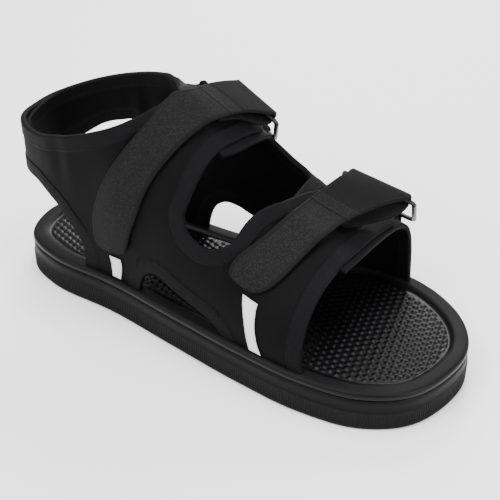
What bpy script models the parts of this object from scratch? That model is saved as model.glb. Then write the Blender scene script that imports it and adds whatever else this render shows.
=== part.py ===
"""Post operative shoe for the right foot: an open sandal of soft sheet on a thick foam sole.

Metres, +Z up, +X from heel to toe, outer side of the foot at -Y, origin at the middle
of the box's underside.  The upper follows one last surface, given by stations that run
from the inner side's toe (negative) round the heel (0) to the outer side's toe (positive),
and by a share of the way up, from the footbed (0) to the collar or the instep ridge (1).
Above 1 a point has crossed the ridge to the other side.
"""
import bmesh
import bpy
import numpy as np
from mathutils import Matrix

NAME = "post_operative_shoe"

# Driving dimensions
SOLE_LENGTH = 0.290
BALL_WIDTH = 0.1145
HEEL_WIDTH = 0.076
OUTSOLE_HEIGHT = 0.020
FOOTBED_RISE = 0.0047
FOOTBED_DISH = 0.0022
RIM_WIDTH = 0.0085
INSTEP_HEIGHT = 0.140
WALL = 0.003
BINDING_WIDTH = 0.009
BINDING_RAISE = 0.0005
EDGE_INSET = 0.004
RIB_BAND_HEIGHT = 0.012
RIB_BAND_STEP = 0.0007
STRAP_THICK = 0.0018
STRAP_ARCH = 0.020
FOLD_RADIUS = 0.0025
STRIPE_THICK = 0.0004
RING_WIRE = 0.0028
RING_CORNER = 0.003
TAB_WIDTH = 0.026
TAB_THICK = 0.0016

# Clearances
GAP = 0.0003
SLOT_GAP = 0.0005
STRAP_GAP = 0.0006
FUSE = 0.0008
STEP_RUN = 0.0006
BAND_STAND = 0.003

# Outsole: bevel of its tread edge, and how much of it the rounded top edge takes
TREAD_BEVEL = 0.0015
TOP_EDGE_SHARE = 0.3

# Footbed: wall from the foot up, inset and share of the rise, then the inset of the rim's crest
FOOTBED_WALL = np.array([
    (0.0016, 0.00),
    (0.0006, 0.18),
    (0.0006, 0.62),
    (0.0014, 0.88),
    (0.0028, 1.00),
])
RIM_FALL = 0.03
DISH_SLOPE = np.array([
    # run in and fall, as shares of the dish
    (0.6, 0.7),
    (2.0, 1.0),
])

# Quarters: share up their ribs where a column's width is taken, and their columns and rows
FLAP_SHARE = 1.45
WAIST_SHARE = 1.0
FRONT_SHARE = 1.3
OUTER_COLUMNS = (7, 12, 4, 7, 7, 7)
INNER_COLUMNS = (13, 4, 6, 7, 7)
INSIDE_ROWS = 3

# Where the outer quarter stands off the inner one: start and run of each rise
RIDGE_LIFT = (0.84, 0.12)
FLAP_LIFT = (6.6, 0.4)
HEEL_LIFT = (2.1, 0.9)
BAND_RUN = 3.0
RING_ARC_POINTS = 5
RING_SIDES = 2

# Plan outline: share of the length from the heel, outer and inner half widths as shares
# of the heel width behind the waist and of the ball width before it
OUTLINE = np.array([
    # along, outer, inner, ball part
    (0.030, 0.342, 0.333, 0.0),
    (0.120, 0.499, 0.501, 0.0),
    (0.280, 0.532, 0.550, 0.0),
    (0.450, 0.416, 0.382, 1.0),
    (0.620, 0.476, 0.443, 1.0),
    (0.760, 0.498, 0.521, 1.0),
    (0.880, 0.447, 0.452, 1.0),
    (0.965, 0.279, 0.287, 1.0),
])
TOE_TIP_SIDE = 0.0725
HEEL_TIP_SIDE = 0.006
OUTLINE_POINTS = 72
# Middle of the box beside the sole's middle line, toward the inner side, as a share of the ball width
BOX_MIDDLE_SIDE = 0.0223

# Last stations, heel to toe.  base and top are the places of the wall's foot and top along the
# length, side the top's half width as a share of the foot's, high the top's height as a share
# of the instep height over the footbed, rise how far the wall goes straight up as a share of
# its height, reach how far it runs in before the top as a share of half the ball width, and
# level whether it arrives upright (0) or level (1).
LAST = np.array([
    # base, top, side_out, side_in, high_out, high_in, rise_out, rise_in, reach_out, reach_in, level
    (0.0120, 0.0120, 0.00, 0.00, 0.696, 0.696, 0.35, 0.35, 0.61, 0.61, 0.00),
    (0.0276, 0.0259, 0.97, 0.97, 0.691, 0.713, 0.35, 0.35, 0.61, 0.61, 0.00),
    (0.0828, 0.0897, 1.00, 0.97, 0.696, 0.774, 0.35, 0.35, 0.61, 0.61, 0.00),
    (0.1586, 0.1690, 0.97, 0.94, 0.748, 0.844, 0.35, 0.35, 0.61, 0.61, 0.05),
    (0.2310, 0.2448, 0.91, 0.87, 0.817, 0.904, 0.35, 0.40, 0.60, 0.66, 0.15),
    (0.2897, 0.3069, 0.70, 0.66, 0.891, 0.948, 0.40, 0.50, 0.54, 0.70, 0.42),
    (0.3310, 0.3517, 0.32, 0.29, 0.957, 0.983, 0.45, 0.60, 0.47, 0.78, 0.66),
    (0.3690, 0.3793, 0.00, 0.00, 1.000, 1.000, 0.50, 0.70, 0.42, 0.84, 0.86),
    (0.4379, 0.4448, 0.00, 0.00, 0.883, 0.883, 0.50, 0.78, 0.42, 0.94, 1.00),
    (0.5069, 0.5069, 0.00, 0.00, 0.761, 0.761, 0.50, 0.80, 0.42, 1.01, 1.00),
    (0.5759, 0.5690, 0.00, 0.00, 0.622, 0.622, 0.50, 0.84, 0.45, 1.06, 1.00),
    (0.6448, 0.6345, 0.00, 0.00, 0.496, 0.496, 0.48, 0.92, 0.49, 1.12, 1.00),
    (0.7138, 0.7034, 0.00, 0.00, 0.422, 0.422, 0.45, 1.00, 0.54, 1.17, 1.00),
    (0.7897, 0.7828, 0.00, 0.00, 0.370, 0.370, 0.45, 1.04, 0.59, 1.20, 1.00),
    (0.8517, 0.8448, 0.00, 0.00, 0.330, 0.330, 0.45, 1.04, 0.59, 1.20, 1.00),
])
LAST_COLUMNS = ("base", "top", "side_out", "side_in", "high_out", "high_in",
                "rise_out", "rise_in", "reach_out", "reach_in", "level")
LAST_TOP = len(LAST) - 1
SEAT = -0.045
RIDGE_START = 7
SLOT_MARGIN = 0.10
SLOT_COLUMNS = 13

# Ribs of the outer quarter: station and share up of the lower edge, the waist and the upper edge
OUTER_BAND = np.array([
    (-6.85, 0.51, -6.85, 0.63, -6.85, 0.75),
    (-6.00, 0.56, -6.00, 0.68, -6.00, 0.81),
    (-4.70, 0.62, -4.70, 0.75, -4.70, 0.88),
    (-3.00, 0.68, -3.00, 0.82, -3.00, 0.96),
    (-1.50, 0.66, -1.50, 0.82, -1.50, 0.98),
    (0.00, 0.60, 0.00, 0.80, 0.00, 0.99),
])
OUTER_HEEL = np.array([
    (0.00, 0.60, 0.00, 0.80, 0.00, 0.99),
    (1.00, 0.62, 1.05, 0.81, 1.10, 1.00),
    (1.70, 0.63, 1.80, 0.82, 1.90, 1.00),
    (2.15, 0.60, 2.30, 0.80, 2.50, 1.00),
    (2.73, 0.475, 2.90, 0.74, 3.10, 1.00),
    (3.04, 0.373, 3.25, 0.69, 3.50, 1.00),
    (3.46, 0.237, 3.65, 0.62, 3.90, 1.00),
    (3.65, 0.125, 3.85, 0.56, 4.10, 1.00),
    (3.62, SEAT, 3.95, 0.48, 4.25, 1.00),
])
OUTER_REAR_LEG = np.array([
    (3.62, SEAT, 3.95, 0.48, 4.25, 1.00),
    (4.60, SEAT, 4.75, 0.47, 4.85, 1.00),
    (5.60, SEAT, 5.60, 0.46, 5.55, 1.00),
    (6.65, SEAT, 6.40, 0.45, 6.25, 1.00),
])
OUTER_REAR_FLAP = np.array([
    (6.65, SEAT, 6.40, 0.45, 6.25, 1.00),
    (6.68, 0.000, 6.45, 0.45, 6.38, 1.00),
    (6.85, 0.044, 6.62, 0.45, 6.70, 1.00),
    (7.00, 0.070, 6.85, 0.45, 7.05, 1.00),
    (7.15, 0.088, 7.12, 0.45, 7.30, 1.17),
    (7.35, 0.104, 7.40, 0.45, 7.65, 1.31),
    (7.50, 0.108, 7.70, 0.45, 8.05, 1.37),
    (7.65, 0.107, 8.00, 0.445, 8.50, 1.35),
    (7.75, 0.105, 8.24, 0.44, 8.90, 1.22),
])
OUTER_MIDDLE = np.array([
    (7.75, 0.105, 7.97, 0.217, 8.24, 0.440),
    (7.95, 0.098, 8.13, 0.210, 8.38, 0.395),
    (8.18, 0.090, 8.34, 0.205, 8.60, 0.373),
    (8.60, 0.080, 8.72, 0.205, 8.95, 0.373),
    (9.00, 0.070, 9.08, 0.215, 9.30, 0.405),
    (9.40, 0.060, 9.40, 0.230, 9.58, 0.450),
    (9.70, 0.040, 9.62, 0.240, 9.76, 0.495),
    (9.94, 0.002, 9.76, 0.222, 9.86, 0.520),
    (9.98, SEAT, 9.79, 0.222, 9.90, 0.530),
])
OUTER_FRONT = np.array([
    (9.98, SEAT, 9.90, 0.53, 11.00, 1.27),
    (10.35, SEAT, 10.33, 0.52, 11.28, 1.38),
    (10.90, SEAT, 10.85, 0.51, 11.60, 1.44),
    (11.50, SEAT, 11.40, 0.50, 11.90, 1.46),
    (12.10, SEAT, 11.95, 0.49, 12.35, 1.46),
    (12.50, SEAT, 12.33, 0.48, 12.72, 1.41),
    (12.67, SEAT, 12.50, 0.47, 12.92, 1.30),
])
INNER_HEEL = np.array([
    (1.50, 0.69, 1.50, 0.82, 1.50, 0.955),
    (0.00, 0.65, 0.00, 0.82, 0.00, 0.985),
    (-1.24, 0.60, -1.24, 0.80, -1.20, 1.00),
    (-2.12, 0.667, -2.12, 0.84, -2.10, 1.00),
    (-2.70, 0.678, -2.75, 0.84, -2.80, 1.00),
    (-3.20, 0.665, -3.30, 0.84, -3.40, 1.00),
    (-3.55, 0.56, -3.75, 0.78, -3.90, 1.00),
    (-3.78, 0.36, -4.00, 0.68, -4.20, 1.00),
    (-3.85, 0.15, -4.12, 0.57, -4.40, 1.00),
    (-3.75, SEAT, -4.15, 0.48, -4.60, 1.00),
])
INNER_REAR_LEG = np.array([
    (-3.75, SEAT, -4.15, 0.48, -4.60, 1.00),
    (-4.70, SEAT, -4.95, 0.47, -5.20, 1.00),
    (-5.65, SEAT, -5.75, 0.46, -5.90, 1.00),
    (-6.55, SEAT, -6.50, 0.45, -6.60, 1.00),
])
INNER_REAR_FLAP = np.array([
    (-6.55, SEAT, -6.50, 0.45, -6.60, 1.00),
    (-6.58, 0.000, -6.55, 0.45, -6.75, 1.00),
    (-6.80, 0.050, -6.78, 0.45, -7.02, 1.01),
    (-7.10, 0.085, -7.20, 0.46, -7.40, 1.10),
    (-7.45, 0.105, -7.75, 0.50, -7.95, 1.12),
    (-7.70, 0.107, -8.35, 0.57, -8.45, 1.12),
    (-7.90, 0.105, -9.00, 0.64, -8.80, 1.12),
])
INNER_MIDDLE = np.array([
    (-7.90, 0.105, -8.61, 0.379, -9.00, 0.640),
    (-8.20, 0.095, -8.85, 0.370, -9.22, 0.625),
    (-8.60, 0.085, -9.15, 0.360, -9.50, 0.615),
    (-9.00, 0.075, -9.47, 0.352, -9.80, 0.610),
    (-9.40, 0.060, -9.78, 0.352, -10.05, 0.620),
    (-9.75, 0.040, -10.05, 0.360, -10.28, 0.650),
    (-9.94, 0.002, -10.20, 0.367, -10.40, 0.685),
    (-9.98, SEAT, -10.24, 0.368, -10.45, 0.700),
])
INNER_FRONT = np.array([
    (-9.98, SEAT, -10.45, 0.70, -10.75, 1.12),
    (-10.50, SEAT, -10.85, 0.64, -11.10, 1.12),
    (-11.20, SEAT, -11.35, 0.59, -11.55, 1.12),
    (-11.90, SEAT, -11.95, 0.56, -12.05, 1.12),
    (-12.50, SEAT, -12.45, 0.54, -12.40, 1.12),
    (-13.00, SEAT, -12.85, 0.53, -12.65, 1.12),
    (-13.33, SEAT, -13.10, 0.52, -12.80, 1.12),
])

# Straps: station and share up of the rear and of the front edge, and how far the strap stands
# off the upper as a share of the arch under its ring end
FRONT_STRAP = np.array([
    # rear edge, front edge, arch of each
    (10.62, 0.375, 10.78, 0.385, 0.00, 0.00),
    (10.10, 0.375, 11.00, 0.415, 0.00, 0.00),
    (10.03, 0.420, 11.12, 0.440, 0.00, 0.00),
    (10.15, 0.500, 11.32, 0.500, 0.00, 0.00),
    (10.42, 0.620, 11.56, 0.610, 0.00, 0.00),
    (10.66, 0.760, 11.76, 0.760, 0.04, 0.04),
    (10.80, 0.910, 11.92, 0.920, 0.12, 0.14),
    (10.88, 1.040, 12.08, 1.050, 0.22, 0.26),
    (10.98, 1.120, 12.38, 1.130, 0.45, 0.50),
    (11.10, 1.190, 12.74, 1.200, 0.72, 0.80),
    (11.24, 1.250, 13.08, 1.260, 0.85, 1.00),
])
REAR_STRAP = np.array([
    (4.95, 0.175, 5.30, 0.165, 0.00, 0.00),
    (4.33, 0.210, 5.85, 0.175, 0.00, 0.00),
    (4.17, 0.320, 6.15, 0.260, 0.00, 0.00),
    (4.22, 0.480, 6.62, 0.340, 0.00, 0.00),
    (4.52, 0.620, 7.02, 0.440, 0.00, 0.00),
    (5.00, 0.735, 7.38, 0.560, 0.00, 0.00),
    (5.60, 0.825, 7.66, 0.690, 0.03, 0.03),
    (6.40, 0.870, 7.88, 0.830, 0.12, 0.10),
    (7.12, 0.960, 8.08, 0.980, 0.16, 0.18),
    (7.28, 1.080, 8.30, 1.080, 0.17, 0.30),
    (7.45, 1.165, 8.56, 1.150, 0.30, 0.42),
    (7.62, 1.235, 8.84, 1.210, 0.44, 0.54),
])
FRONT_STRIPE = np.array([
    (10.97, 0.012, 11.38, 0.012),
    (10.84, 0.10, 11.20, 0.10),
    (10.72, 0.19, 11.08, 0.20),
    (10.60, 0.28, 11.04, 0.29),
    (10.55, 0.34, 11.05, 0.35),
])
REAR_STRIPE = np.array([
    (4.85, 0.010, 5.32, 0.010),
    (4.84, 0.06, 5.42, 0.055),
    (4.82, 0.10, 5.45, 0.095),
    (4.76, 0.14, 5.38, 0.125),
])
# Ring tabs on the inner wall: station and share up of the ring's lower bar, share up of the
# foot, and how far the bar stands off the tab's seat as a share of the ring's wire
FRONT_TAB = (-12.30, 0.46, 0.20, 0.2)
REAR_TAB = (-8.35, 0.50, 0.32, 0.5)
STRAP_ROWS = 17
STRAP_COLUMNS = 6
STRIPE_ROWS = 7
TAB_COLUMNS = 4
TURN_STEPS = 5
SEWN_ROWS = (2.0, 2.7)
ROUND = 1e-9


def slopes(steps, values):
    """Slope at each point of a table, from its neighbours."""
    return np.gradient(values, steps, axis=0)


def through(steps, values, at):
    """Smooth curve through the table's points."""
    steps = np.asarray(steps, float)
    values = np.asarray(values, float)
    at = np.asarray(at, float)
    grade = slopes(steps, values)
    low = np.clip(np.searchsorted(steps, at, side="right") - 1, 0, len(steps) - 2)
    run = steps[low + 1] - steps[low]
    part = (at - steps[low]) / run
    if values.ndim > 1:
        part = part[..., None]
        run = run[..., None]
    start = (2 * part**3 - 3 * part**2 + 1) * values[low]
    start = start + (part**3 - 2 * part**2 + part) * run * grade[low]
    end = (3 * part**2 - 2 * part**3) * values[low + 1]
    return start + end + (part**3 - part**2) * run * grade[low + 1]


def ease(value):
    """Smooth step from 0 to 1."""
    value = np.clip(value, 0.0, 1.0)
    return value * value * (3 - 2 * value)


def along_x(share):
    """Place on the length of a share from the heel."""
    return (share - 0.5) * SOLE_LENGTH


def half_widths():
    """Half widths of the outline's stations, outer and inner."""
    scale = HEEL_WIDTH + OUTLINE[:, 3] * (BALL_WIDTH - HEEL_WIDTH)
    return OUTLINE[:, 1] * scale, OUTLINE[:, 2] * scale


def outline(inset=0.0, count=OUTLINE_POINTS):
    """Closed plan outline, from the heel along the outer side, moved in by the inset."""
    outer, inner = half_widths()
    xs = along_x(OUTLINE[:, 0])
    heel = np.array([[along_x(0.0), HEEL_TIP_SIDE * HEEL_WIDTH]])
    toe = np.array([[along_x(1.0), TOE_TIP_SIDE * BALL_WIDTH]])
    ring = np.concatenate([heel, np.stack([xs, -outer], 1), toe, np.stack([xs, inner], 1)[::-1]])
    wide = np.concatenate([ring[-3:], ring, ring[:4]])
    steps = np.concatenate([[0.0], np.cumsum(np.sqrt(np.linalg.norm(np.diff(wide, axis=0), axis=1)))])
    fine = through(steps, wide, np.linspace(steps[3], steps[3 + len(ring)], 1441)[:-1])
    path = np.concatenate([[0.0], np.cumsum(np.linalg.norm(np.diff(fine, axis=0), axis=1))])
    at = np.linspace(0.0, path[-1], count, endpoint=False)
    points = np.stack([np.interp(at, path, fine[:, 0]), np.interp(at, path, fine[:, 1])], 1)
    run = np.roll(points, -1, axis=0) - np.roll(points, 1, axis=0)
    run /= np.linalg.norm(run, axis=1)[:, None]
    inward = np.stack([-run[:, 1], run[:, 0]], 1)
    return points + inward * inset


def foot_of_wall(x):
    """Half widths of the wall's foot at a place along the length, outer and inner."""
    edge = outline(EDGE_INSET, 720)
    turn = int(np.argmax(edge[:, 0]))
    outer = edge[:turn + 1]
    inner = np.concatenate([edge[turn:], edge[:1]])[::-1]
    inner = inner[np.argsort(inner[:, 0])]
    outer = outer[np.argsort(outer[:, 0])]
    return -np.interp(x, outer[:, 0], outer[:, 1]), np.interp(x, inner[:, 0], inner[:, 1])


def last_tables():
    """Columns of the last for every station from the inner toe round to the outer toe."""
    table = dict(zip(LAST_COLUMNS, LAST.T))
    base = along_x(table["base"])
    outer, inner = foot_of_wall(base)
    outer[0] = 0.0
    inner[0] = 0.0
    rise = INSTEP_HEIGHT - footbed_top()
    half_ball = BALL_WIDTH / 2

    def both(inner_side, outer_side):
        return np.concatenate([inner_side[::-1][:-1], outer_side])

    return {
        "base_x": both(base, base),
        "base_y": both(inner, -outer),
        "top_x": both(along_x(table["top"]), along_x(table["top"])),
        "top_y": both(inner * table["side_in"], -outer * table["side_out"]),
        "top_z": footbed_top() + rise * both(table["high_in"], table["high_out"]),
        "rise": both(table["rise_in"], table["rise_out"]),
        "reach": half_ball * both(table["reach_in"], table["reach_out"]),
        "level": both(table["level"], table["level"]),
    }


def footbed_top():
    """Height of the footbed's rim."""
    return OUTSOLE_HEIGHT + GAP + FOOTBED_RISE


TABLES = last_tables()
STATIONS = np.arange(-LAST_TOP, LAST_TOP + 1)


def one_side(station, up):
    """Point of the last on the station's own side."""
    col = {name: through(STATIONS, values, station) for name, values in TABLES.items()}
    zero = 0 * col["base_x"]
    foot = np.stack([col["base_x"], col["base_y"], zero + footbed_top()], -1)
    top = np.stack([col["top_x"], col["top_y"], col["top_z"]], -1)
    height = col["top_z"] - footbed_top()
    lift = np.array([0.0, 0.0, 1.0])
    low = foot + (col["rise"] * height)[..., None] * lift
    across = np.stack([zero, np.sign(station) + zero, zero], -1)
    arrive = across * col["level"][..., None] + lift * (1 - col["level"])[..., None]
    arrive /= np.maximum(np.linalg.norm(arrive, axis=-1), ROUND)[..., None]
    high = top - arrive * col["reach"][..., None]
    part = np.clip(up, 0.0, 1.0)[..., None]
    point = (1 - part)**3 * foot + 3 * (1 - part)**2 * part * low
    point = point + 3 * (1 - part) * part**2 * high + part**3 * top
    return point - lift * (np.minimum(up, 0.0) * FOOTBED_RISE / SEAT)[..., None]


def last(station, up):
    """Point of the last, over the ridge to the other side where the share is above 1."""
    station, up = np.broadcast_arrays(np.asarray(station, float), np.asarray(up, float))
    over = (up > 1) & (np.abs(station) >= RIDGE_START)
    return one_side(np.where(over, -station, station), np.where(over, 2 - up, np.minimum(up, 1.0)))


def outward(station, up, step=1e-3):
    """Outward normal of the last, from differences that stay on the point's own side."""
    station, up = np.broadcast_arrays(np.asarray(station, float), np.asarray(up, float))
    over = (up > 1) & (np.abs(station) >= RIDGE_START)
    up = np.where(over, up, np.minimum(up, 1.0))
    low = np.where(over, np.maximum(up - step, 1 + ROUND), up - step)
    high = np.where(over, up + step, np.minimum(up + step, 1.0))
    along = last(station + step, up) - last(station - step, up)
    rise = last(station, high) - last(station, low)
    normal = np.cross(along, rise)
    return normal / np.maximum(np.linalg.norm(normal, axis=-1), ROUND)[..., None]


# Construction of the sheets

def rib_points(ribs, shares):
    """Station and share up at places on each rib: 0 lower edge, 1 waist, 2 upper edge."""
    shares = np.atleast_2d(np.asarray(shares, float))
    low = (shares - 1) * (shares - 2) / 2
    mid = shares * (2 - shares)
    high = shares * (shares - 1) / 2
    station = low * ribs[:, 0:1] + mid * ribs[:, 2:3] + high * ribs[:, 4:5]
    up = low * ribs[:, 1:2] + mid * ribs[:, 3:4] + high * ribs[:, 5:6]
    return station, up


def rib_length(ribs, start, end):
    """Length of the ribs between two places on them."""
    station, up = rib_points(ribs, np.linspace(start, end, 9))
    return np.linalg.norm(np.diff(last(station, up), axis=1), axis=-1).sum(axis=1)


def rib_positions(keys, count, edges, share):
    """Places of the columns in a key table, with a binding's width kept at its free ends."""
    last_key = len(keys) - 1.0
    inner_start = 0.0
    inner_end = last_key
    head = [0.0]
    tail = [last_key]
    if "start" in edges:
        wide, step = binding_columns(keys, 0.0, 1.0, share)
        head = [0.0, wide, step]
        inner_start = step
    if "end" in edges:
        wide, step = binding_columns(keys, last_key, -1.0, share)
        tail = [step, wide, last_key]
        inner_end = step
    inside = np.linspace(inner_start, inner_end, count + 1)[1:-1]
    return np.concatenate([head, inside, tail])


def binding_columns(keys, place, sign, share):
    """Columns a binding's width from a free end, and its step's run further in."""
    tries = np.linspace(0.0, 3.0, 31)
    ribs = through(np.arange(len(keys)), keys, place + sign * tries)
    station, up = rib_points(ribs, [share])
    points = last(station, up)[:, 0]
    away = np.linalg.norm(points - points[0], axis=1)
    found = np.interp([BINDING_WIDTH, BINDING_WIDTH + STEP_RUN], away, tries)
    return place + sign * found[0], place + sign * found[1]


def row_shares(ribs, inner_rows):
    """Rows' places on each rib, with the bindings' rows a fixed width from the edges."""
    lower = np.maximum(rib_length(ribs, 0.0, 1.0), 3 * BINDING_WIDTH)
    upper = np.maximum(rib_length(ribs, 1.0, 2.0), 2 * BINDING_WIDTH)
    inside = np.linspace(0.0, 1.0, inner_rows + 1)[None, :]
    band = (BINDING_WIDTH / lower)[:, None]
    step = ((BINDING_WIDTH + STEP_RUN) / lower)[:, None]
    band_top = (BINDING_WIDTH / upper)[:, None]
    step_top = ((BINDING_WIDTH + STEP_RUN) / upper)[:, None]
    none = 0 * band
    rows = [none, band, step + (1 - 2 * step) * inside, 1 - band, none + 1,
            1 + (1 - step_top) * inside[:, 1:], 2 - band_top, none + 2]
    return np.concatenate(rows, axis=1), inner_rows + 4


def panel_grid(rear_tables, middle_table, front_table, counts, inner_rows):
    """Stations, shares up and raised points of a quarter, and the cells that it fills."""
    columns = []
    for index, table in enumerate(rear_tables):
        edges = ("end",) if index == len(rear_tables) - 1 else ()
        places = rib_positions(table, counts[index], edges, FLAP_SHARE)
        ribs = through(np.arange(len(table)), table, places)
        columns.append(ribs if index == 0 else ribs[1:])
    rear = np.concatenate(columns)
    places = rib_positions(middle_table, counts[-2], (), WAIST_SHARE)
    middle = through(np.arange(len(middle_table)), middle_table, places)
    places = rib_positions(front_table, counts[-1], ("start", "end"), FRONT_SHARE)
    front = through(np.arange(len(front_table)), front_table, places)
    as_full = middle.copy()
    as_full[:, 2:4] = middle[:, 4:6]
    as_full[:, 4:6] = 3 * middle[:, 0:2] - 8 * middle[:, 2:4] + 6 * middle[:, 4:6]
    ribs = np.concatenate([rear, as_full[1:-1], front])
    rear_end = len(rear) - 1
    front_start = len(rear) + len(middle) - 2
    shares, waist = row_shares(ribs, inner_rows)
    station, up = rib_points(ribs, shares)
    cells = np.ones((len(ribs) - 1, shares.shape[1] - 1), bool)
    cells[rear_end:front_start, waist:] = False
    raised = np.zeros(shares.shape, bool)
    raised[up[:, 0] > SEAT / 2, :2] = True
    raised[:, -2:] = True
    raised[rear_end:front_start + 1, waist - 1:waist + 1] = True
    raised[rear_end - 1:rear_end + 1, waist - 1:] = True
    raised[front_start:front_start + 2, waist - 1:] = True
    raised[-2:, 2:] = True
    return station, up, raised, cells


def sheet_mesh(name, outer, inner, cells):
    """Closed body between two grids of points, over the cells that are filled."""
    columns, rows = outer.shape[:2]
    index = np.arange(columns * rows).reshape(columns, rows)
    quads = np.stack([index[:-1, :-1], index[1:, :-1], index[1:, 1:], index[:-1, 1:]], -1)[cells]
    directed = np.concatenate([quads[:, [i, (i + 1) % 4]] for i in range(4)])
    known = {tuple(edge) for edge in directed.tolist()}
    rim = np.array([edge for edge in directed.tolist() if (edge[1], edge[0]) not in known])
    shift = columns * rows
    under = quads[:, ::-1] + shift
    sides = np.stack([rim[:, 1], rim[:, 0], rim[:, 0] + shift, rim[:, 1] + shift], 1)
    faces = np.concatenate([quads, under, sides])
    points = np.concatenate([outer.reshape(-1, 3), inner.reshape(-1, 3)])
    used, faces = np.unique(faces, return_inverse=True)
    mesh = bpy.data.meshes.new(name)
    mesh.from_pydata(points[used].tolist(), [], faces.reshape(-1, 4).tolist())
    shape = bmesh.new()
    shape.from_mesh(mesh)
    bmesh.ops.triangulate(shape, faces=shape.faces)
    shape.to_mesh(mesh)
    shape.free()
    return mesh


def fuse_lift(station, up):
    """How far the outer quarter stands off the last where it lies on the inner quarter."""
    over_ridge = ease((up - RIDGE_LIFT[0]) / RIDGE_LIFT[1])
    over_ridge = over_ridge * ease((np.abs(station) - FLAP_LIFT[0]) / FLAP_LIFT[1])
    at_heel = ease((HEEL_LIFT[0] - station) / HEEL_LIFT[1])
    lift = (WALL - FUSE) * np.maximum(over_ridge, at_heel)
    free = ease(-station / BAND_RUN) * BAND_STAND
    return lift + free


def quarter(name, rear_tables, middle_table, front_table, counts, inner_rows, lifted):
    """One quarter of the upper as a closed sheet."""
    station, up, raised, cells = panel_grid(rear_tables, middle_table, front_table, counts, inner_rows)
    place = last(station, up)
    normal = outward(station, up)
    lift = fuse_lift(station, up) if lifted else 0 * station
    top = place + normal * (lift + BINDING_RAISE * raised)[..., None]
    under = place + normal * (lift - WALL)[..., None]
    if lifted:
        return sheet_mesh(name, top, under, cells)
    return sheet_mesh(name, top[::-1], under[::-1], cells[::-1])


def unit(vectors):
    """Vectors at length 1."""
    return vectors / np.maximum(np.linalg.norm(vectors, axis=-1), ROUND)[..., None]


def ribbon_grid(table, count, across):
    """Stations, shares up and arch of a ribbon, from its start and from edge to edge."""
    rows = through(np.arange(len(table)), table, np.linspace(0, len(table) - 1, count))
    share = np.linspace(0.0, 1.0, across)[None, :]
    station = rows[:, 0:1] * (1 - share) + rows[:, 2:3] * share
    up = rows[:, 1:2] * (1 - share) + rows[:, 3:4] * share
    return station, up, rows[:, 4:5] * (1 - share) + rows[:, 5:6] * share


def ribbon_mesh(name, centre, thick):
    """Closed ribbon of even thickness about a grid of points, path first and width second."""
    along = np.gradient(centre, axis=0)
    across = np.gradient(centre, axis=1)
    normal = unit(np.cross(across, along))
    top = (centre + normal * thick / 2).transpose(1, 0, 2)
    under = (centre - normal * thick / 2).transpose(1, 0, 2)
    return sheet_mesh(name, top, under, np.ones((top.shape[0] - 1, top.shape[1] - 1), bool))


def on_upper(station, up, lift):
    """Point over the outer quarter, clear of its binding."""
    stand = fuse_lift(station, up) + BINDING_RAISE + lift
    return last(station, up) + outward(station, up) * stand[..., None]


def fold_frame(centre):
    """Straight end line of a ribbon, its run past the end and its outward side."""
    share = np.linspace(0.0, 1.0, centre.shape[1])[:, None]
    line = centre[-1, :1] * (1 - share) + centre[-1, -1:] * share
    width = unit(line[-1] - line[0])
    run = unit((centre[-1] - centre[-3]).mean(axis=0))
    run = unit(run - width * run.dot(width))
    return line, run, np.cross(width, run)


def half_turn(line, run, side, radius, steps):
    """Rows of a ribbon that folds back under itself, from its straight end line."""
    angle = np.linspace(0.0, np.pi, steps + 1)[:, None, None]
    heart = (line - side * radius)[None]
    return heart + radius * (np.cos(angle) * side + np.sin(angle) * run)


def bezier_rows(start, end, start_run, end_run, steps):
    """Rows that leave the start line and arrive at the end line along the two directions."""
    part = np.linspace(0.0, 1.0, steps + 1)[:, None, None]
    reach = np.linalg.norm(end - start, axis=-1)[None, :, None] / 3
    first = start[None] + start_run * reach
    second = end[None] - end_run * reach
    rows = (1 - part)**3 * start + 3 * (1 - part)**2 * part * first
    return rows + 3 * (1 - part) * part**2 * second + part**3 * end


def strap_shape(table):
    """Middle surface of a strap: landing, arch, turn round the ring's bar and sewn inner end."""
    station, up, arch = ribbon_grid(table, STRAP_ROWS, STRAP_COLUMNS)
    landed = STRAP_GAP + STRAP_THICK / 2
    centre = on_upper(station, up, landed + arch * STRAP_ARCH)
    line, run, side = fold_frame(centre)
    centre[-1] = line
    centre[-2] = (centre[-2] + (centre[-3] + line) / 2) / 2
    radius = FOLD_RADIUS + STRAP_THICK / 2
    turn = half_turn(line, run, side, radius, TURN_STEPS)
    share = np.linspace(0.0, 1.0, STRAP_COLUMNS)
    ends = through(np.arange(len(table)), table, len(table) - 1 - np.array(SEWN_ROWS))
    sewn = []
    for row in ends:
        station = row[0] * (1 - share) + row[2] * share
        up = row[1] * (1 - share) + row[3] * share
        sewn.append(on_upper(station, up, landed + 0 * share))
    into = unit(sewn[1] - sewn[0])
    back = bezier_rows(turn[-1], sewn[0], -run, into, TURN_STEPS)
    rows = np.concatenate([centre, turn[1:], back[1:], [sewn[1]]])
    return rows, line - side * radius, run


def make_strap(name, table, collection, cloth):
    """One strap, with the line its ring's bar lies on and the strap's run there."""
    rows, heart, run = strap_shape(table)
    add(name, ribbon_mesh(name, rows, STRAP_THICK), collection, cloth)
    return heart, run


def ring_frame(heart, run, tab_station, tab_up, slack_share):
    """Upper and lower bar lines of a ring that runs from the strap's turn to the inner wall."""
    width = unit(heart[-1] - heart[0])
    slack = FOLD_RADIUS - RING_WIRE / 2 - GAP
    half = np.linalg.norm(heart[-1] - heart[0]) / 2 + RING_WIRE / 2 + RING_CORNER / 2
    middle = (heart[0] + heart[-1]) / 2 + run * slack
    stand = 3 * GAP + STRAP_GAP + TAB_THICK + RING_WIRE * (0.5 + slack_share)
    foot = last(tab_station, tab_up) + outward(tab_station, tab_up) * stand
    down = foot - middle
    down = down - width * down.dot(width)
    ends = np.stack([middle - width * half, middle + width * half])
    return ends, ends + down


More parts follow.
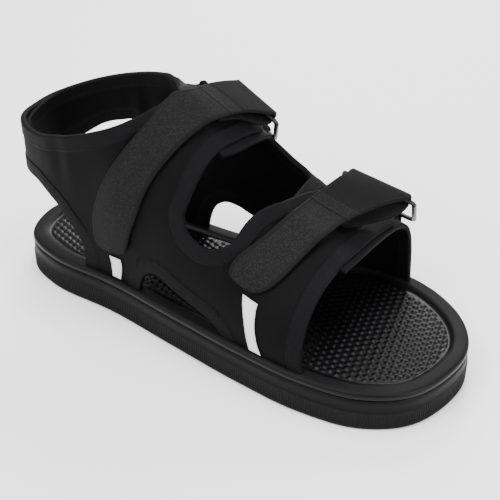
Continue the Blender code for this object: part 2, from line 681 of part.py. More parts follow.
def make_ring(name, upper_bar, lower_bar, collection, finish):
    """Rectangular wire ring with rounded corners, through the ends of its two bars."""
    corners = np.array([upper_bar[0], upper_bar[1], lower_bar[1], lower_bar[0]])
    points = []
    for i in range(4):
        before = unit(corners[i - 1] - corners[i])
        after = unit(corners[(i + 1) % 4] - corners[i])
        heart = corners[i] + (before + after) * RING_CORNER
        angle = np.linspace(0.0, np.pi / 2, RING_ARC_POINTS)[:, None]
        points.append(heart - RING_CORNER * (np.cos(angle) * after + np.sin(angle) * before))
    points = np.concatenate(points)
    curve = bpy.data.curves.new(name, "CURVE")
    curve.dimensions = "3D"
    curve.bevel_depth = RING_WIRE / 2
    curve.bevel_resolution = RING_SIDES
    spline = curve.splines.new("POLY")
    spline.points.add(len(points) - 1)
    spline.points.foreach_set("co", np.concatenate([points, np.ones((len(points), 1))], 1).ravel())
    spline.use_cyclic_u = True
    curve.materials.append(finish)
    return link(bpy.data.objects.new(name, curve), collection)


def make_tab(name, lower_bar, bar_up, foot_up, collection, cloth):
    """Webbing loop from the inner wall, up round the ring's lower bar and back down over itself."""
    middle = (lower_bar[0] + lower_bar[1]) / 2
    width = unit(lower_bar[1] - lower_bar[0])
    heart = middle + width * TAB_WIDTH * np.linspace(-0.5, 0.5, TAB_COLUMNS)[:, None]
    tries = np.linspace(-1.0, -LAST_TOP, 53)
    place = np.interp(heart[:, 0], last(tries, bar_up)[:, 0], tries)
    share = np.linspace(0.0, 1.0, TURN_STEPS + 1)[:, None]
    station = place[None, :] + 0 * share
    up = foot_up + (bar_up - foot_up) * share + 0 * station
    wall = last(station, up)
    normal = outward(station, up)
    near = GAP + STRAP_GAP + TAB_THICK / 2
    radius = RING_WIRE / 2 + 2 * GAP + TAB_THICK / 2
    shift = heart - (wall[-1] + normal[-1] * (near + radius))
    follow = (share**2)[..., None] * shift
    doubled = TAB_THICK + GAP + (2 * radius - TAB_THICK - GAP) * share**2
    inner = wall + normal * near + follow
    outer = wall + normal * (near + doubled)[..., None] + follow
    rise = unit(wall[-1] - wall[-2])
    rise = unit(rise - normal[-1] * (rise * normal[-1]).sum(axis=-1, keepdims=True))
    turn = half_turn(outer[-1], rise, normal[-1], radius, TURN_STEPS)
    rows = np.concatenate([outer, turn[1:-1], inner[::-1]])
    return add(name, ribbon_mesh(name, rows, TAB_THICK), collection, cloth)


def make_stripe(name, table, collection, tape):
    """Thin tape on the outer quarter, from the sole up to the strap's end."""
    station, up, none = ribbon_grid(np.pad(table, ((0, 0), (0, 2))), STRIPE_ROWS, 3)
    centre = last(station, up) + outward(station, up) * (STRAP_GAP + STRIPE_THICK / 2)
    return add(name, ribbon_mesh(name, centre, STRIPE_THICK), collection, tape)


def make_fastenings(collection):
    """Both straps, each with its ring, the ring's tab and the stripe below the strap."""
    webbing = material("strap_webbing", (0.020, 0.020, 0.021), 0.8)
    tab_cloth = material("tab_webbing", (0.016, 0.016, 0.017), 0.8)
    plastic = material("ring_plastic", (0.020, 0.020, 0.020), 0.35)
    tape = material("stripe_tape", (0.62, 0.62, 0.60), 0.7)
    for place, strap, stripe, tab in (("front", FRONT_STRAP, FRONT_STRIPE, FRONT_TAB),
                                      ("rear", REAR_STRAP, REAR_STRIPE, REAR_TAB)):
        heart, run = make_strap(place + "_strap", strap, collection, webbing)
        upper_bar, lower_bar = ring_frame(heart, run, tab[0], tab[1], tab[3])
        make_ring(place + "_ring", upper_bar, lower_bar, collection, plastic)
        make_tab(place + "_ring_tab", lower_bar, tab[1], tab[2], collection, tab_cloth)
        make_stripe(place + "_stripe", stripe, collection, tape)


def link(obj, collection):
    """Put an object in a collection."""
    collection.objects.link(obj)
    return obj


def add(name, mesh, collection, material=None):
    """New object from a mesh."""
    if material is not None:
        mesh.materials.append(material)
    return link(bpy.data.objects.new(name, mesh), collection)


def material(name, colour, roughness, metallic=0.0):
    """Plain material of a part."""
    result = bpy.data.materials.new(name)
    result.use_nodes = True
    shader = result.node_tree.nodes["Principled BSDF"]
    shader.inputs["Base Color"].default_value = (*colour, 1.0)
    shader.inputs["Roughness"].default_value = roughness
    shader.inputs["Metallic"].default_value = metallic
    return result


def cutter(obj):
    """Mark an object as a cutter."""
    obj.hide_render = True
    obj.display_type = "WIRE"
    return obj


def boolean(obj, other, operation):
    """Join or cut an object by another."""
    modifier = obj.modifiers.new(operation.lower(), "BOOLEAN")
    modifier.operation = operation
    modifier.object = other
    modifier.solver = "EXACT"


def stacked(name, loops):
    """Closed body of plan loops, each with its height, capped below and above."""
    count = len(loops[0][0])
    points = []
    for ring, height in loops:
        points += [(x, y, height) for x, y in ring]
    faces = [list(range(count))[::-1]]
    for level in range(len(loops) - 1):
        base = level * count
        for i in range(count):
            j = (i + 1) % count
            faces.append([base + i, base + j, base + count + j, base + count + i])
    faces.append([(len(loops) - 1) * count + i for i in range(count)])
    mesh = bpy.data.meshes.new(name)
    mesh.from_pydata(points, [], faces)
    mesh.update()
    return mesh


def make_outsole(collection):
    """Foam block with a bevelled tread edge, the step of the ribbed band and a rounded top edge."""
    top = OUTSOLE_HEIGHT
    bevel = TREAD_BEVEL
    loops = [
        (outline(bevel), 0.0),
        (outline(0.0), bevel),
        (outline(0.0), RIB_BAND_HEIGHT),
        (outline(RIB_BAND_STEP), RIB_BAND_HEIGHT + RIB_BAND_STEP),
        (outline(RIB_BAND_STEP), top - 2 * bevel),
        (outline(RIB_BAND_STEP + TOP_EDGE_SHARE * bevel), top - bevel),
        (outline(RIB_BAND_STEP + bevel), top),
    ]
    foam = material("outsole_foam", (0.012, 0.012, 0.013), 0.62)
    return add("outsole", stacked("outsole", loops), collection, foam)


def leg_slots(collection):
    """Upright walls round the feet of the four legs, for the slots of the footbed."""
    rows = np.array([OUTSOLE_HEIGHT - WALL, footbed_top() + WALL])
    mesh = bpy.data.meshes.new("leg_slots")
    points = []
    faces = []
    for table in (OUTER_REAR_LEG, OUTER_FRONT, INNER_REAR_LEG, INNER_FRONT):
        feet = np.sort(table[[0, -1], 0])
        station = np.linspace(feet[0] - SLOT_MARGIN, feet[1] + SLOT_MARGIN, SLOT_COLUMNS)
        seat = np.full(SLOT_COLUMNS, SEAT)
        grid = np.repeat(last(station, seat)[:, None, :], 2, axis=1)
        grid[..., 2] = rows[None, :]
        shift = np.repeat(outward(station, seat)[:, None, :], 2, axis=1)
        outer = grid + shift * SLOT_GAP
        inner = grid - shift * (WALL + SLOT_GAP)
        one = sheet_mesh("leg", outer, inner, np.ones((SLOT_COLUMNS - 1, 1), bool))
        base = len(points)
        points += [tuple(v.co) for v in one.vertices]
        faces += [[base + i for i in face.vertices] for face in one.polygons]
        bpy.data.meshes.remove(one)
    mesh.from_pydata(points, [], faces)
    mesh.update()
    return cutter(add("leg_slots", mesh, collection))


def make_footbed(collection, cutters):
    """Thick footbed with a rounded rim round a shallow dish."""
    base = OUTSOLE_HEIGHT + GAP
    rim = base + (1 - RIM_FALL) * FOOTBED_RISE
    (half_run, half_fall), (full_run, full_fall) = DISH_SLOPE
    loops = [(outline(inset), base + share * FOOTBED_RISE) for inset, share in FOOTBED_WALL]
    loops += [
        (outline(RIM_WIDTH), rim),
        (outline(RIM_WIDTH + half_run * FOOTBED_DISH), rim - half_fall * FOOTBED_DISH),
        (outline(RIM_WIDTH + full_run * FOOTBED_DISH), footbed_top() - full_fall * FOOTBED_DISH),
    ]
    foam = material("footbed_foam", (0.014, 0.014, 0.015), 0.5)
    obj = add("footbed", stacked("footbed", loops), collection, foam)
    boolean(obj, leg_slots(cutters), "DIFFERENCE")
    return obj


def make_upper(collection, cutters):
    """Outer quarter laid over the inner quarter at the heel and at both flaps, as one sheet."""
    cloth = material("upper_neoprene", (0.016, 0.016, 0.017), 0.75)
    outer_mesh = quarter("upper", (OUTER_BAND, OUTER_HEEL, OUTER_REAR_LEG, OUTER_REAR_FLAP),
                         OUTER_MIDDLE, OUTER_FRONT, OUTER_COLUMNS, INSIDE_ROWS, True)
    inner_mesh = quarter("inner_quarter", (INNER_HEEL, INNER_REAR_LEG, INNER_REAR_FLAP),
                         INNER_MIDDLE, INNER_FRONT, INNER_COLUMNS, INSIDE_ROWS, False)
    upper = add("upper", outer_mesh, collection, cloth)
    other = cutter(add("inner_quarter", inner_mesh, cutters, cloth))
    boolean(upper, other, "UNION")
    return upper


def centre_sideways(collections):
    """Move everything over, so that the middle of the box is at the origin with the tabs in it."""
    shift = Matrix.Translation((0.0, -BOX_MIDDLE_SIDE * BALL_WIDTH, 0.0))
    for collection in collections:
        for obj in collection.objects:
            obj.data.transform(shift)


def main():
    """Build the shoe."""
    for obj in list(bpy.data.objects):
        bpy.data.objects.remove(obj, do_unlink=True)
    parts = bpy.data.collections.new(NAME)
    cutters = bpy.data.collections.new(NAME + "_cutters")
    for collection in (parts, cutters):
        bpy.context.scene.collection.children.link(collection)
    make_outsole(parts)
    make_footbed(parts, cutters)
    make_upper(parts, cutters)
    make_fastenings(parts)
    centre_sideways((parts, cutters))


main()
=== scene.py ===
"""Looks of a post operative shoe for the right foot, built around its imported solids.

Every soft piece follows one last surface: a station runs from the inner side's toe (negative)
round the heel (0) to the outer side's toe (positive), and a share up runs from the footbed (0)
to the collar or the instep ridge (1) and, past 1, over the ridge to the other side.
"""
import logging
import math
from dataclasses import dataclass, field
from enum import Enum
from typing import Callable, Dict, List, Optional, Sequence, Tuple, Union

import bpy
import numpy as np
from mathutils import Matrix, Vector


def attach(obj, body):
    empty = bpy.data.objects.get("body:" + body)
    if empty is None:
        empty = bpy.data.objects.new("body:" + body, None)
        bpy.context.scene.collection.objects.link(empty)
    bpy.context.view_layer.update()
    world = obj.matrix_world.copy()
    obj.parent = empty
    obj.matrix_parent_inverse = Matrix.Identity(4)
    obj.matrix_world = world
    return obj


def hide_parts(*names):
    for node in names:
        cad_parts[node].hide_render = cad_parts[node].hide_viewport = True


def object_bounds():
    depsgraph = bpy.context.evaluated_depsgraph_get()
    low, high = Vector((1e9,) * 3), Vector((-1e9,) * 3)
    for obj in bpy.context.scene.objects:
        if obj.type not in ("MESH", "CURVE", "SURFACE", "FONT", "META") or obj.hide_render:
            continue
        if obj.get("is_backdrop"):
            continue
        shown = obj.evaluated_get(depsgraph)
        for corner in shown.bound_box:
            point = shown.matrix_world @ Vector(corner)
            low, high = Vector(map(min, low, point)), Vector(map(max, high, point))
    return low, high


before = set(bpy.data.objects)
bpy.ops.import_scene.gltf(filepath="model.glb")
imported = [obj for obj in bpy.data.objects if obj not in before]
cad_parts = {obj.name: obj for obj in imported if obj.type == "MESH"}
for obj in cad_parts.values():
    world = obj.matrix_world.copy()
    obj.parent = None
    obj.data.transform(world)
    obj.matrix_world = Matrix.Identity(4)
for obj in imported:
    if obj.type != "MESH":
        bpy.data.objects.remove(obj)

logging.basicConfig(level=logging.INFO, format="%(message)s")
LOG = logging.getLogger("shoe")

Points = np.ndarray
Colour = Tuple[float, float, float]
Object = bpy.types.Object
Socket = bpy.types.NodeSocket
Feed = Union[Socket, float, Tuple[float, ...]]

# Sizes of the shoe, as in the part
SOLE_LENGTH = 0.290
BALL_WIDTH = 0.1145
HEEL_WIDTH = 0.076
OUTSOLE_HEIGHT = 0.020
FOOTBED_RISE = 0.0047
FOOTBED_DISH = 0.0022
RIM_WIDTH = 0.0085
INSTEP_HEIGHT = 0.140
WALL = 0.003
BINDING_WIDTH = 0.009
BINDING_RAISE = 0.0005
EDGE_INSET = 0.004
RIB_BAND_HEIGHT = 0.012
RIB_BAND_STEP = 0.0007
STRAP_THICK = 0.0018
STRAP_ARCH = 0.020
FOLD_RADIUS = 0.0025
STRIPE_THICK = 0.0004
RING_WIRE = 0.0028
RING_CORNER = 0.003
TAB_WIDTH = 0.026
TAB_THICK = 0.0016
GAP = 0.0003
STRAP_GAP = 0.0006
FUSE = 0.0008
BAND_STAND = 0.003
STEP_RUN = 0.0006
TOE_TIP_SIDE = 0.0725
HEEL_TIP_SIDE = 0.006
SEAT = -0.045
RIDGE_START = 7
ROUND = 1e-9
MILLIMETRE = 0.001
BOX_MIDDLE_SIDE = 0.0223
SHIFT = np.array([0.0, -BOX_MIDDLE_SIDE * BALL_WIDTH, 0.0])

# Sizes of the looks; a furrow is its depth and width, an overlap its start and run
RIB_PITCH = 0.00148
RIB_DEPTH = 0.00050
SOLE_BEVEL = 0.0015
HEX_PITCH = 0.0046
HEX_HEIGHT = 0.0009
HEX_LEAN = 12.0
RIM_INSET = 0.0006
RIM_ROUND = 0.0024
DISH_RUN = 0.0046
BUMP_FADE = 0.0025
STITCH_LINE = 0.0072
STITCH_FURROW = (0.00022, 0.00045)
STEP_FURROW = (0.00018, 0.0006)
EDGE_ROUND = 0.0011
CREASE_RUN = 0.042
CREASE_SHOULDER = 0.45
OVERLAP_UP = (0.84, 0.12)
OVERLAP_STATION = (6.6, 0.4)
HEEL_OVERLAP = (2.1, 0.9)
BAND_RUN = 3.0
REAR_SHARE = 1.45
WAIST_SHARE = 1.0
FRONT_SHARE = 1.3
SMOOTH_PASSES = 10
STRAIGHT_FROM = 0.80
FRONT_SEAM = 0.079
REAR_SEAM = 0.138
SEAM_STITCHES = (0.0016, 0.0078)
SEAM_JOINT = 0.0089
SEWN_ROWS = (2.0, 2.7)
SEAM_STEP = 0.3
SEAM_FADE = 0.01
RIBBON_EDGE = 0.25
RING_ARC_POINTS = 13
RING_SIDES = 20
RING_OVAL = 0.05
STRIPE_CELLS = (60, 13)
TAB_CELLS = (25, 21)
CAMERA_AIM = (-0.0041, 0.0235, 0.030)
CAMERA_AZIMUTH = 31.4528
CAMERA_ELEVATION = 36.0
CAMERA_DISTANCE = 0.6748
CAMERA_LENS = 79.2
CAMERA_SENSOR = 36.0

# Plan outline: share of the length, outer and inner half widths as shares of the heel width or,
# where the last column is 1, of the ball width
OUTLINE = np.array([
    # along, outer, inner, ball part
    (0.030, 0.342, 0.333, 0.0),
    (0.120, 0.499, 0.501, 0.0),
    (0.280, 0.532, 0.550, 0.0),
    (0.450, 0.416, 0.382, 1.0),
    (0.620, 0.476, 0.443, 1.0),
    (0.760, 0.498, 0.521, 1.0),
    (0.880, 0.447, 0.452, 1.0),
    (0.965, 0.279, 0.287, 1.0),
])

# Last stations, heel to toe; the columns are named below
LAST = np.array([
    # base, top, side_out, side_in, high_out, high_in, rise_out, rise_in, reach_out, reach_in, level
    (0.0120, 0.0120, 0.00, 0.00, 0.696, 0.696, 0.35, 0.35, 0.61, 0.61, 0.00),
    (0.0276, 0.0259, 0.97, 0.97, 0.691, 0.713, 0.35, 0.35, 0.61, 0.61, 0.00),
    (0.0828, 0.0897, 1.00, 0.97, 0.696, 0.774, 0.35, 0.35, 0.61, 0.61, 0.00),
    (0.1586, 0.1690, 0.97, 0.94, 0.748, 0.844, 0.35, 0.35, 0.61, 0.61, 0.05),
    (0.2310, 0.2448, 0.91, 0.87, 0.817, 0.904, 0.35, 0.40, 0.60, 0.66, 0.15),
    (0.2897, 0.3069, 0.70, 0.66, 0.891, 0.948, 0.40, 0.50, 0.54, 0.70, 0.42),
    (0.3310, 0.3517, 0.32, 0.29, 0.957, 0.983, 0.45, 0.60, 0.47, 0.78, 0.66),
    (0.3690, 0.3793, 0.00, 0.00, 1.000, 1.000, 0.50, 0.70, 0.42, 0.84, 0.86),
    (0.4379, 0.4448, 0.00, 0.00, 0.883, 0.883, 0.50, 0.78, 0.42, 0.94, 1.00),
    (0.5069, 0.5069, 0.00, 0.00, 0.761, 0.761, 0.50, 0.80, 0.42, 1.01, 1.00),
    (0.5759, 0.5690, 0.00, 0.00, 0.622, 0.622, 0.50, 0.84, 0.45, 1.06, 1.00),
    (0.6448, 0.6345, 0.00, 0.00, 0.496, 0.496, 0.48, 0.92, 0.49, 1.12, 1.00),
    (0.7138, 0.7034, 0.00, 0.00, 0.422, 0.422, 0.45, 1.00, 0.54, 1.17, 1.00),
    (0.7897, 0.7828, 0.00, 0.00, 0.370, 0.370, 0.45, 1.04, 0.59, 1.20, 1.00),
    (0.8517, 0.8448, 0.00, 0.00, 0.330, 0.330, 0.45, 1.04, 0.59, 1.20, 1.00),
])

LAST_COLUMNS = ("base", "top", "side_out", "side_in", "high_out", "high_in",
                "rise_out", "rise_in", "reach_out", "reach_in", "level")

# Ribs of the quarters: station and share up of the lower edge, the waist and the upper edge
OUTER_BAND = np.array([
    (-6.85, 0.51, -6.85, 0.63, -6.85, 0.75),
    (-6.00, 0.56, -6.00, 0.68, -6.00, 0.81),
    (-4.70, 0.62, -4.70, 0.75, -4.70, 0.88),
    (-3.00, 0.68, -3.00, 0.82, -3.00, 0.96),
    (-1.50, 0.66, -1.50, 0.82, -1.50, 0.98),
    (0.00, 0.60, 0.00, 0.80, 0.00, 0.99),
])
OUTER_HEEL = np.array([
    (0.00, 0.60, 0.00, 0.80, 0.00, 0.99),
    (1.00, 0.62, 1.05, 0.81, 1.10, 1.00),
    (1.70, 0.63, 1.80, 0.82, 1.90, 1.00),
    (2.15, 0.60, 2.30, 0.80, 2.50, 1.00),
    (2.73, 0.475, 2.90, 0.74, 3.10, 1.00),
    (3.04, 0.373, 3.25, 0.69, 3.50, 1.00),
    (3.46, 0.237, 3.65, 0.62, 3.90, 1.00),
    (3.65, 0.125, 3.85, 0.56, 4.10, 1.00),
    (3.62, SEAT, 3.95, 0.48, 4.25, 1.00),
])
OUTER_REAR_LEG = np.array([
    (3.62, SEAT, 3.95, 0.48, 4.25, 1.00),
    (4.60, SEAT, 4.75, 0.47, 4.85, 1.00),
    (5.60, SEAT, 5.60, 0.46, 5.55, 1.00),
    (6.65, SEAT, 6.40, 0.45, 6.25, 1.00),
])
OUTER_REAR_FLAP = np.array([
    (6.65, SEAT, 6.40, 0.45, 6.25, 1.00),
    (6.68, 0.000, 6.45, 0.45, 6.38, 1.00),
    (6.85, 0.044, 6.62, 0.45, 6.70, 1.00),
    (7.00, 0.070, 6.85, 0.45, 7.05, 1.00),
    (7.15, 0.088, 7.12, 0.45, 7.30, 1.17),
    (7.35, 0.104, 7.40, 0.45, 7.65, 1.31),
    (7.50, 0.108, 7.70, 0.45, 8.05, 1.37),
    (7.65, 0.107, 8.00, 0.445, 8.50, 1.35),
    (7.75, 0.105, 8.24, 0.44, 8.90, 1.22),
])
OUTER_MIDDLE = np.array([
    (7.75, 0.105, 7.97, 0.217, 8.24, 0.440),
    (7.95, 0.098, 8.13, 0.210, 8.38, 0.395),
    (8.18, 0.090, 8.34, 0.205, 8.60, 0.373),
    (8.60, 0.080, 8.72, 0.205, 8.95, 0.373),
    (9.00, 0.070, 9.08, 0.215, 9.30, 0.405),
    (9.40, 0.060, 9.40, 0.230, 9.58, 0.450),
    (9.70, 0.040, 9.62, 0.240, 9.76, 0.495),
    (9.94, 0.002, 9.76, 0.222, 9.86, 0.520),
    (9.98, SEAT, 9.79, 0.222, 9.90, 0.530),
])
OUTER_FRONT = np.array([
    (9.98, SEAT, 9.90, 0.53, 11.00, 1.27),
    (10.35, SEAT, 10.33, 0.52, 11.28, 1.38),
    (10.90, SEAT, 10.85, 0.51, 11.60, 1.44),
    (11.50, SEAT, 11.40, 0.50, 11.90, 1.46),
    (12.10, SEAT, 11.95, 0.49, 12.35, 1.46),
    (12.50, SEAT, 12.33, 0.48, 12.72, 1.41),
    (12.67, SEAT, 12.50, 0.47, 12.92, 1.30),
])
INNER_HEEL = np.array([
    (1.50, 0.69, 1.50, 0.82, 1.50, 0.955),
    (0.00, 0.65, 0.00, 0.82, 0.00, 0.985),
    (-1.24, 0.60, -1.24, 0.80, -1.20, 1.00),
    (-2.12, 0.667, -2.12, 0.84, -2.10, 1.00),
    (-2.70, 0.678, -2.75, 0.84, -2.80, 1.00),
    (-3.20, 0.665, -3.30, 0.84, -3.40, 1.00),
    (-3.55, 0.56, -3.75, 0.78, -3.90, 1.00),
    (-3.78, 0.36, -4.00, 0.68, -4.20, 1.00),
    (-3.85, 0.15, -4.12, 0.57, -4.40, 1.00),
    (-3.75, SEAT, -4.15, 0.48, -4.60, 1.00),
])
INNER_REAR_LEG = np.array([
    (-3.75, SEAT, -4.15, 0.48, -4.60, 1.00),
    (-4.70, SEAT, -4.95, 0.47, -5.20, 1.00),
    (-5.65, SEAT, -5.75, 0.46, -5.90, 1.00),
    (-6.55, SEAT, -6.50, 0.45, -6.60, 1.00),
])
INNER_REAR_FLAP = np.array([
    (-6.55, SEAT, -6.50, 0.45, -6.60, 1.00),
    (-6.58, 0.000, -6.55, 0.45, -6.75, 1.00),
    (-6.80, 0.050, -6.78, 0.45, -7.02, 1.01),
    (-7.10, 0.085, -7.20, 0.46, -7.40, 1.10),
    (-7.45, 0.105, -7.75, 0.50, -7.95, 1.12),
    (-7.70, 0.107, -8.35, 0.57, -8.45, 1.12),
    (-7.90, 0.105, -9.00, 0.64, -8.80, 1.12),
])
INNER_MIDDLE = np.array([
    (-7.90, 0.105, -8.61, 0.379, -9.00, 0.640),
    (-8.20, 0.095, -8.85, 0.370, -9.22, 0.625),
    (-8.60, 0.085, -9.15, 0.360, -9.50, 0.615),
    (-9.00, 0.075, -9.47, 0.352, -9.80, 0.610),
    (-9.40, 0.060, -9.78, 0.352, -10.05, 0.620),
    (-9.75, 0.040, -10.05, 0.360, -10.28, 0.650),
    (-9.94, 0.002, -10.20, 0.367, -10.40, 0.685),
    (-9.98, SEAT, -10.24, 0.368, -10.45, 0.700),
])
INNER_FRONT = np.array([
    (-9.98, SEAT, -10.45, 0.70, -10.75, 1.12),
    (-10.50, SEAT, -10.85, 0.64, -11.10, 1.12),
    (-11.20, SEAT, -11.35, 0.59, -11.55, 1.12),
    (-11.90, SEAT, -11.95, 0.56, -12.05, 1.12),
    (-12.50, SEAT, -12.45, 0.54, -12.40, 1.12),
    (-13.00, SEAT, -12.85, 0.53, -12.65, 1.12),
    (-13.33, SEAT, -13.10, 0.52, -12.80, 1.12),
])

# Straps and stripes: station and share up of the rear and the front edge, then the arch of each
FRONT_STRAP = np.array([
    # rear edge, front edge, arch of each
    (10.62, 0.375, 10.78, 0.385, 0.00, 0.00),
    (10.10, 0.375, 11.00, 0.415, 0.00, 0.00),
    (10.03, 0.420, 11.12, 0.440, 0.00, 0.00),
    (10.15, 0.500, 11.32, 0.500, 0.00, 0.00),
    (10.42, 0.620, 11.56, 0.610, 0.00, 0.00),
    (10.66, 0.760, 11.76, 0.760, 0.04, 0.04),
    (10.80, 0.910, 11.92, 0.920, 0.12, 0.14),
    (10.88, 1.040, 12.08, 1.050, 0.22, 0.26),
    (10.98, 1.120, 12.38, 1.130, 0.45, 0.50),
    (11.10, 1.190, 12.74, 1.200, 0.72, 0.80),
    (11.24, 1.250, 13.08, 1.260, 0.85, 1.00),
])
REAR_STRAP = np.array([
    (4.95, 0.175, 5.30, 0.165, 0.00, 0.00),
    (4.33, 0.210, 5.85, 0.175, 0.00, 0.00),
    (4.17, 0.320, 6.15, 0.260, 0.00, 0.00),
    (4.22, 0.480, 6.62, 0.340, 0.00, 0.00),
    (4.52, 0.620, 7.02, 0.440, 0.00, 0.00),
    (5.00, 0.735, 7.38, 0.560, 0.00, 0.00),
    (5.60, 0.825, 7.66, 0.690, 0.03, 0.03),
    (6.40, 0.870, 7.88, 0.830, 0.12, 0.10),
    (7.12, 0.960, 8.08, 0.980, 0.16, 0.18),
    (7.28, 1.080, 8.30, 1.080, 0.17, 0.30),
    (7.45, 1.165, 8.56, 1.150, 0.30, 0.42),
    (7.62, 1.235, 8.84, 1.210, 0.44, 0.54),
])
FRONT_STRIPE = np.array([
    (10.97, 0.012, 11.38, 0.012),
    (10.84, 0.10, 11.20, 0.10),
    (10.72, 0.19, 11.08, 0.20),
    (10.60, 0.28, 11.04, 0.29),
    (10.55, 0.34, 11.05, 0.35),
])
REAR_STRIPE = np.array([
    (4.85, 0.010, 5.32, 0.010),
    (4.84, 0.06, 5.42, 0.055),
    (4.82, 0.10, 5.45, 0.095),
    (4.76, 0.14, 5.38, 0.125),
])

# Tabs: station, share up of the ring's bar and of the foot, and slack
FRONT_TAB = (-12.30, 0.46, 0.20, 0.2)
REAR_TAB = (-8.35, 0.50, 0.32, 0.5)


def through(steps: Points, values: Points, at: Points) -> Points:
    """Smooth curve through a table's points.

    Args:
        steps: places of the table's rows, rising.
        values: the rows, numbers or vectors.
        at: places to read the curve at.
    Returns:
        The cubic that passes each row with the slope of its neighbours.
    """
    steps = np.asarray(steps, float)
    values = np.asarray(values, float)
    at = np.asarray(at, float)
    grade = np.gradient(values, steps, axis=0)
    low = np.clip(np.searchsorted(steps, at, side="right") - 1, 0, len(steps) - 2)
    run = steps[low + 1] - steps[low]
    part = (at - steps[low]) / run
    if values.ndim > 1:
        part = part[..., None]
        run = run[..., None]
    start = (2 * part**3 - 3 * part**2 + 1) * values[low]
    start = start + (part**3 - 2 * part**2 + part) * run * grade[low]
    end = (3 * part**2 - 2 * part**3) * values[low + 1]
    return start + end + (part**3 - part**2) * run * grade[low + 1]


def ease(value: Points) -> Points:
    """Smooth step from 0 to 1, level at both ends."""
    value = np.clip(value, 0.0, 1.0)
    return value * value * (3 - 2 * value)


def unit(vectors: Points) -> Points:
    """Vectors at length 1."""
    return vectors / np.maximum(np.linalg.norm(vectors, axis=-1), ROUND)[..., None]


def hump(value: Points, width: float) -> Points:
    """Bell of height 1 about 0."""
    return np.exp(-(value / width)**2)


def along_x(share: Points) -> Points:
    """Place on the length of a share from the heel."""
    return (share - 0.5) * SOLE_LENGTH


def footbed_top() -> float:
    """Height of the footbed's rim."""
    return OUTSOLE_HEIGHT + GAP + FOOTBED_RISE


def outline(inset: Points, count: int) -> Points:
    """Closed plan outline of the sole, from the heel along the outer side.

    Args:
        inset: how far it is moved in, one number or one for each point.
        count: number of points round it.
    Returns:
        Points in the plan, evenly spaced.
    """
    scale = HEEL_WIDTH + OUTLINE[:, 3] * (BALL_WIDTH - HEEL_WIDTH)
    xs = along_x(OUTLINE[:, 0])
    heel = np.array([[along_x(0.0), HEEL_TIP_SIDE * HEEL_WIDTH]])
    toe = np.array([[along_x(1.0), TOE_TIP_SIDE * BALL_WIDTH]])
    outer = np.stack([xs, -OUTLINE[:, 1] * scale], 1)
    inner = np.stack([xs, OUTLINE[:, 2] * scale], 1)[::-1]
    ring = np.concatenate([heel, outer, toe, inner])
    wide = np.concatenate([ring[-3:], ring, ring[:4]])
    chords = np.sqrt(np.linalg.norm(np.diff(wide, axis=0), axis=1))
    steps = np.concatenate([[0.0], np.cumsum(chords)])
    fine = through(steps, wide, np.linspace(steps[3], steps[3 + len(ring)], 2881)[:-1])
    path = np.concatenate([[0.0], np.cumsum(np.linalg.norm(np.diff(fine, axis=0), axis=1))])
    at = np.linspace(0.0, path[-1], count, endpoint=False)
    points = np.stack([np.interp(at, path, fine[:, 0]), np.interp(at, path, fine[:, 1])], 1)
    run = unit(np.roll(points, -1, axis=0) - np.roll(points, 1, axis=0))
    inward = np.stack([-run[:, 1], run[:, 0]], 1)
    return points + inward * np.broadcast_to(inset, (count,))[:, None]


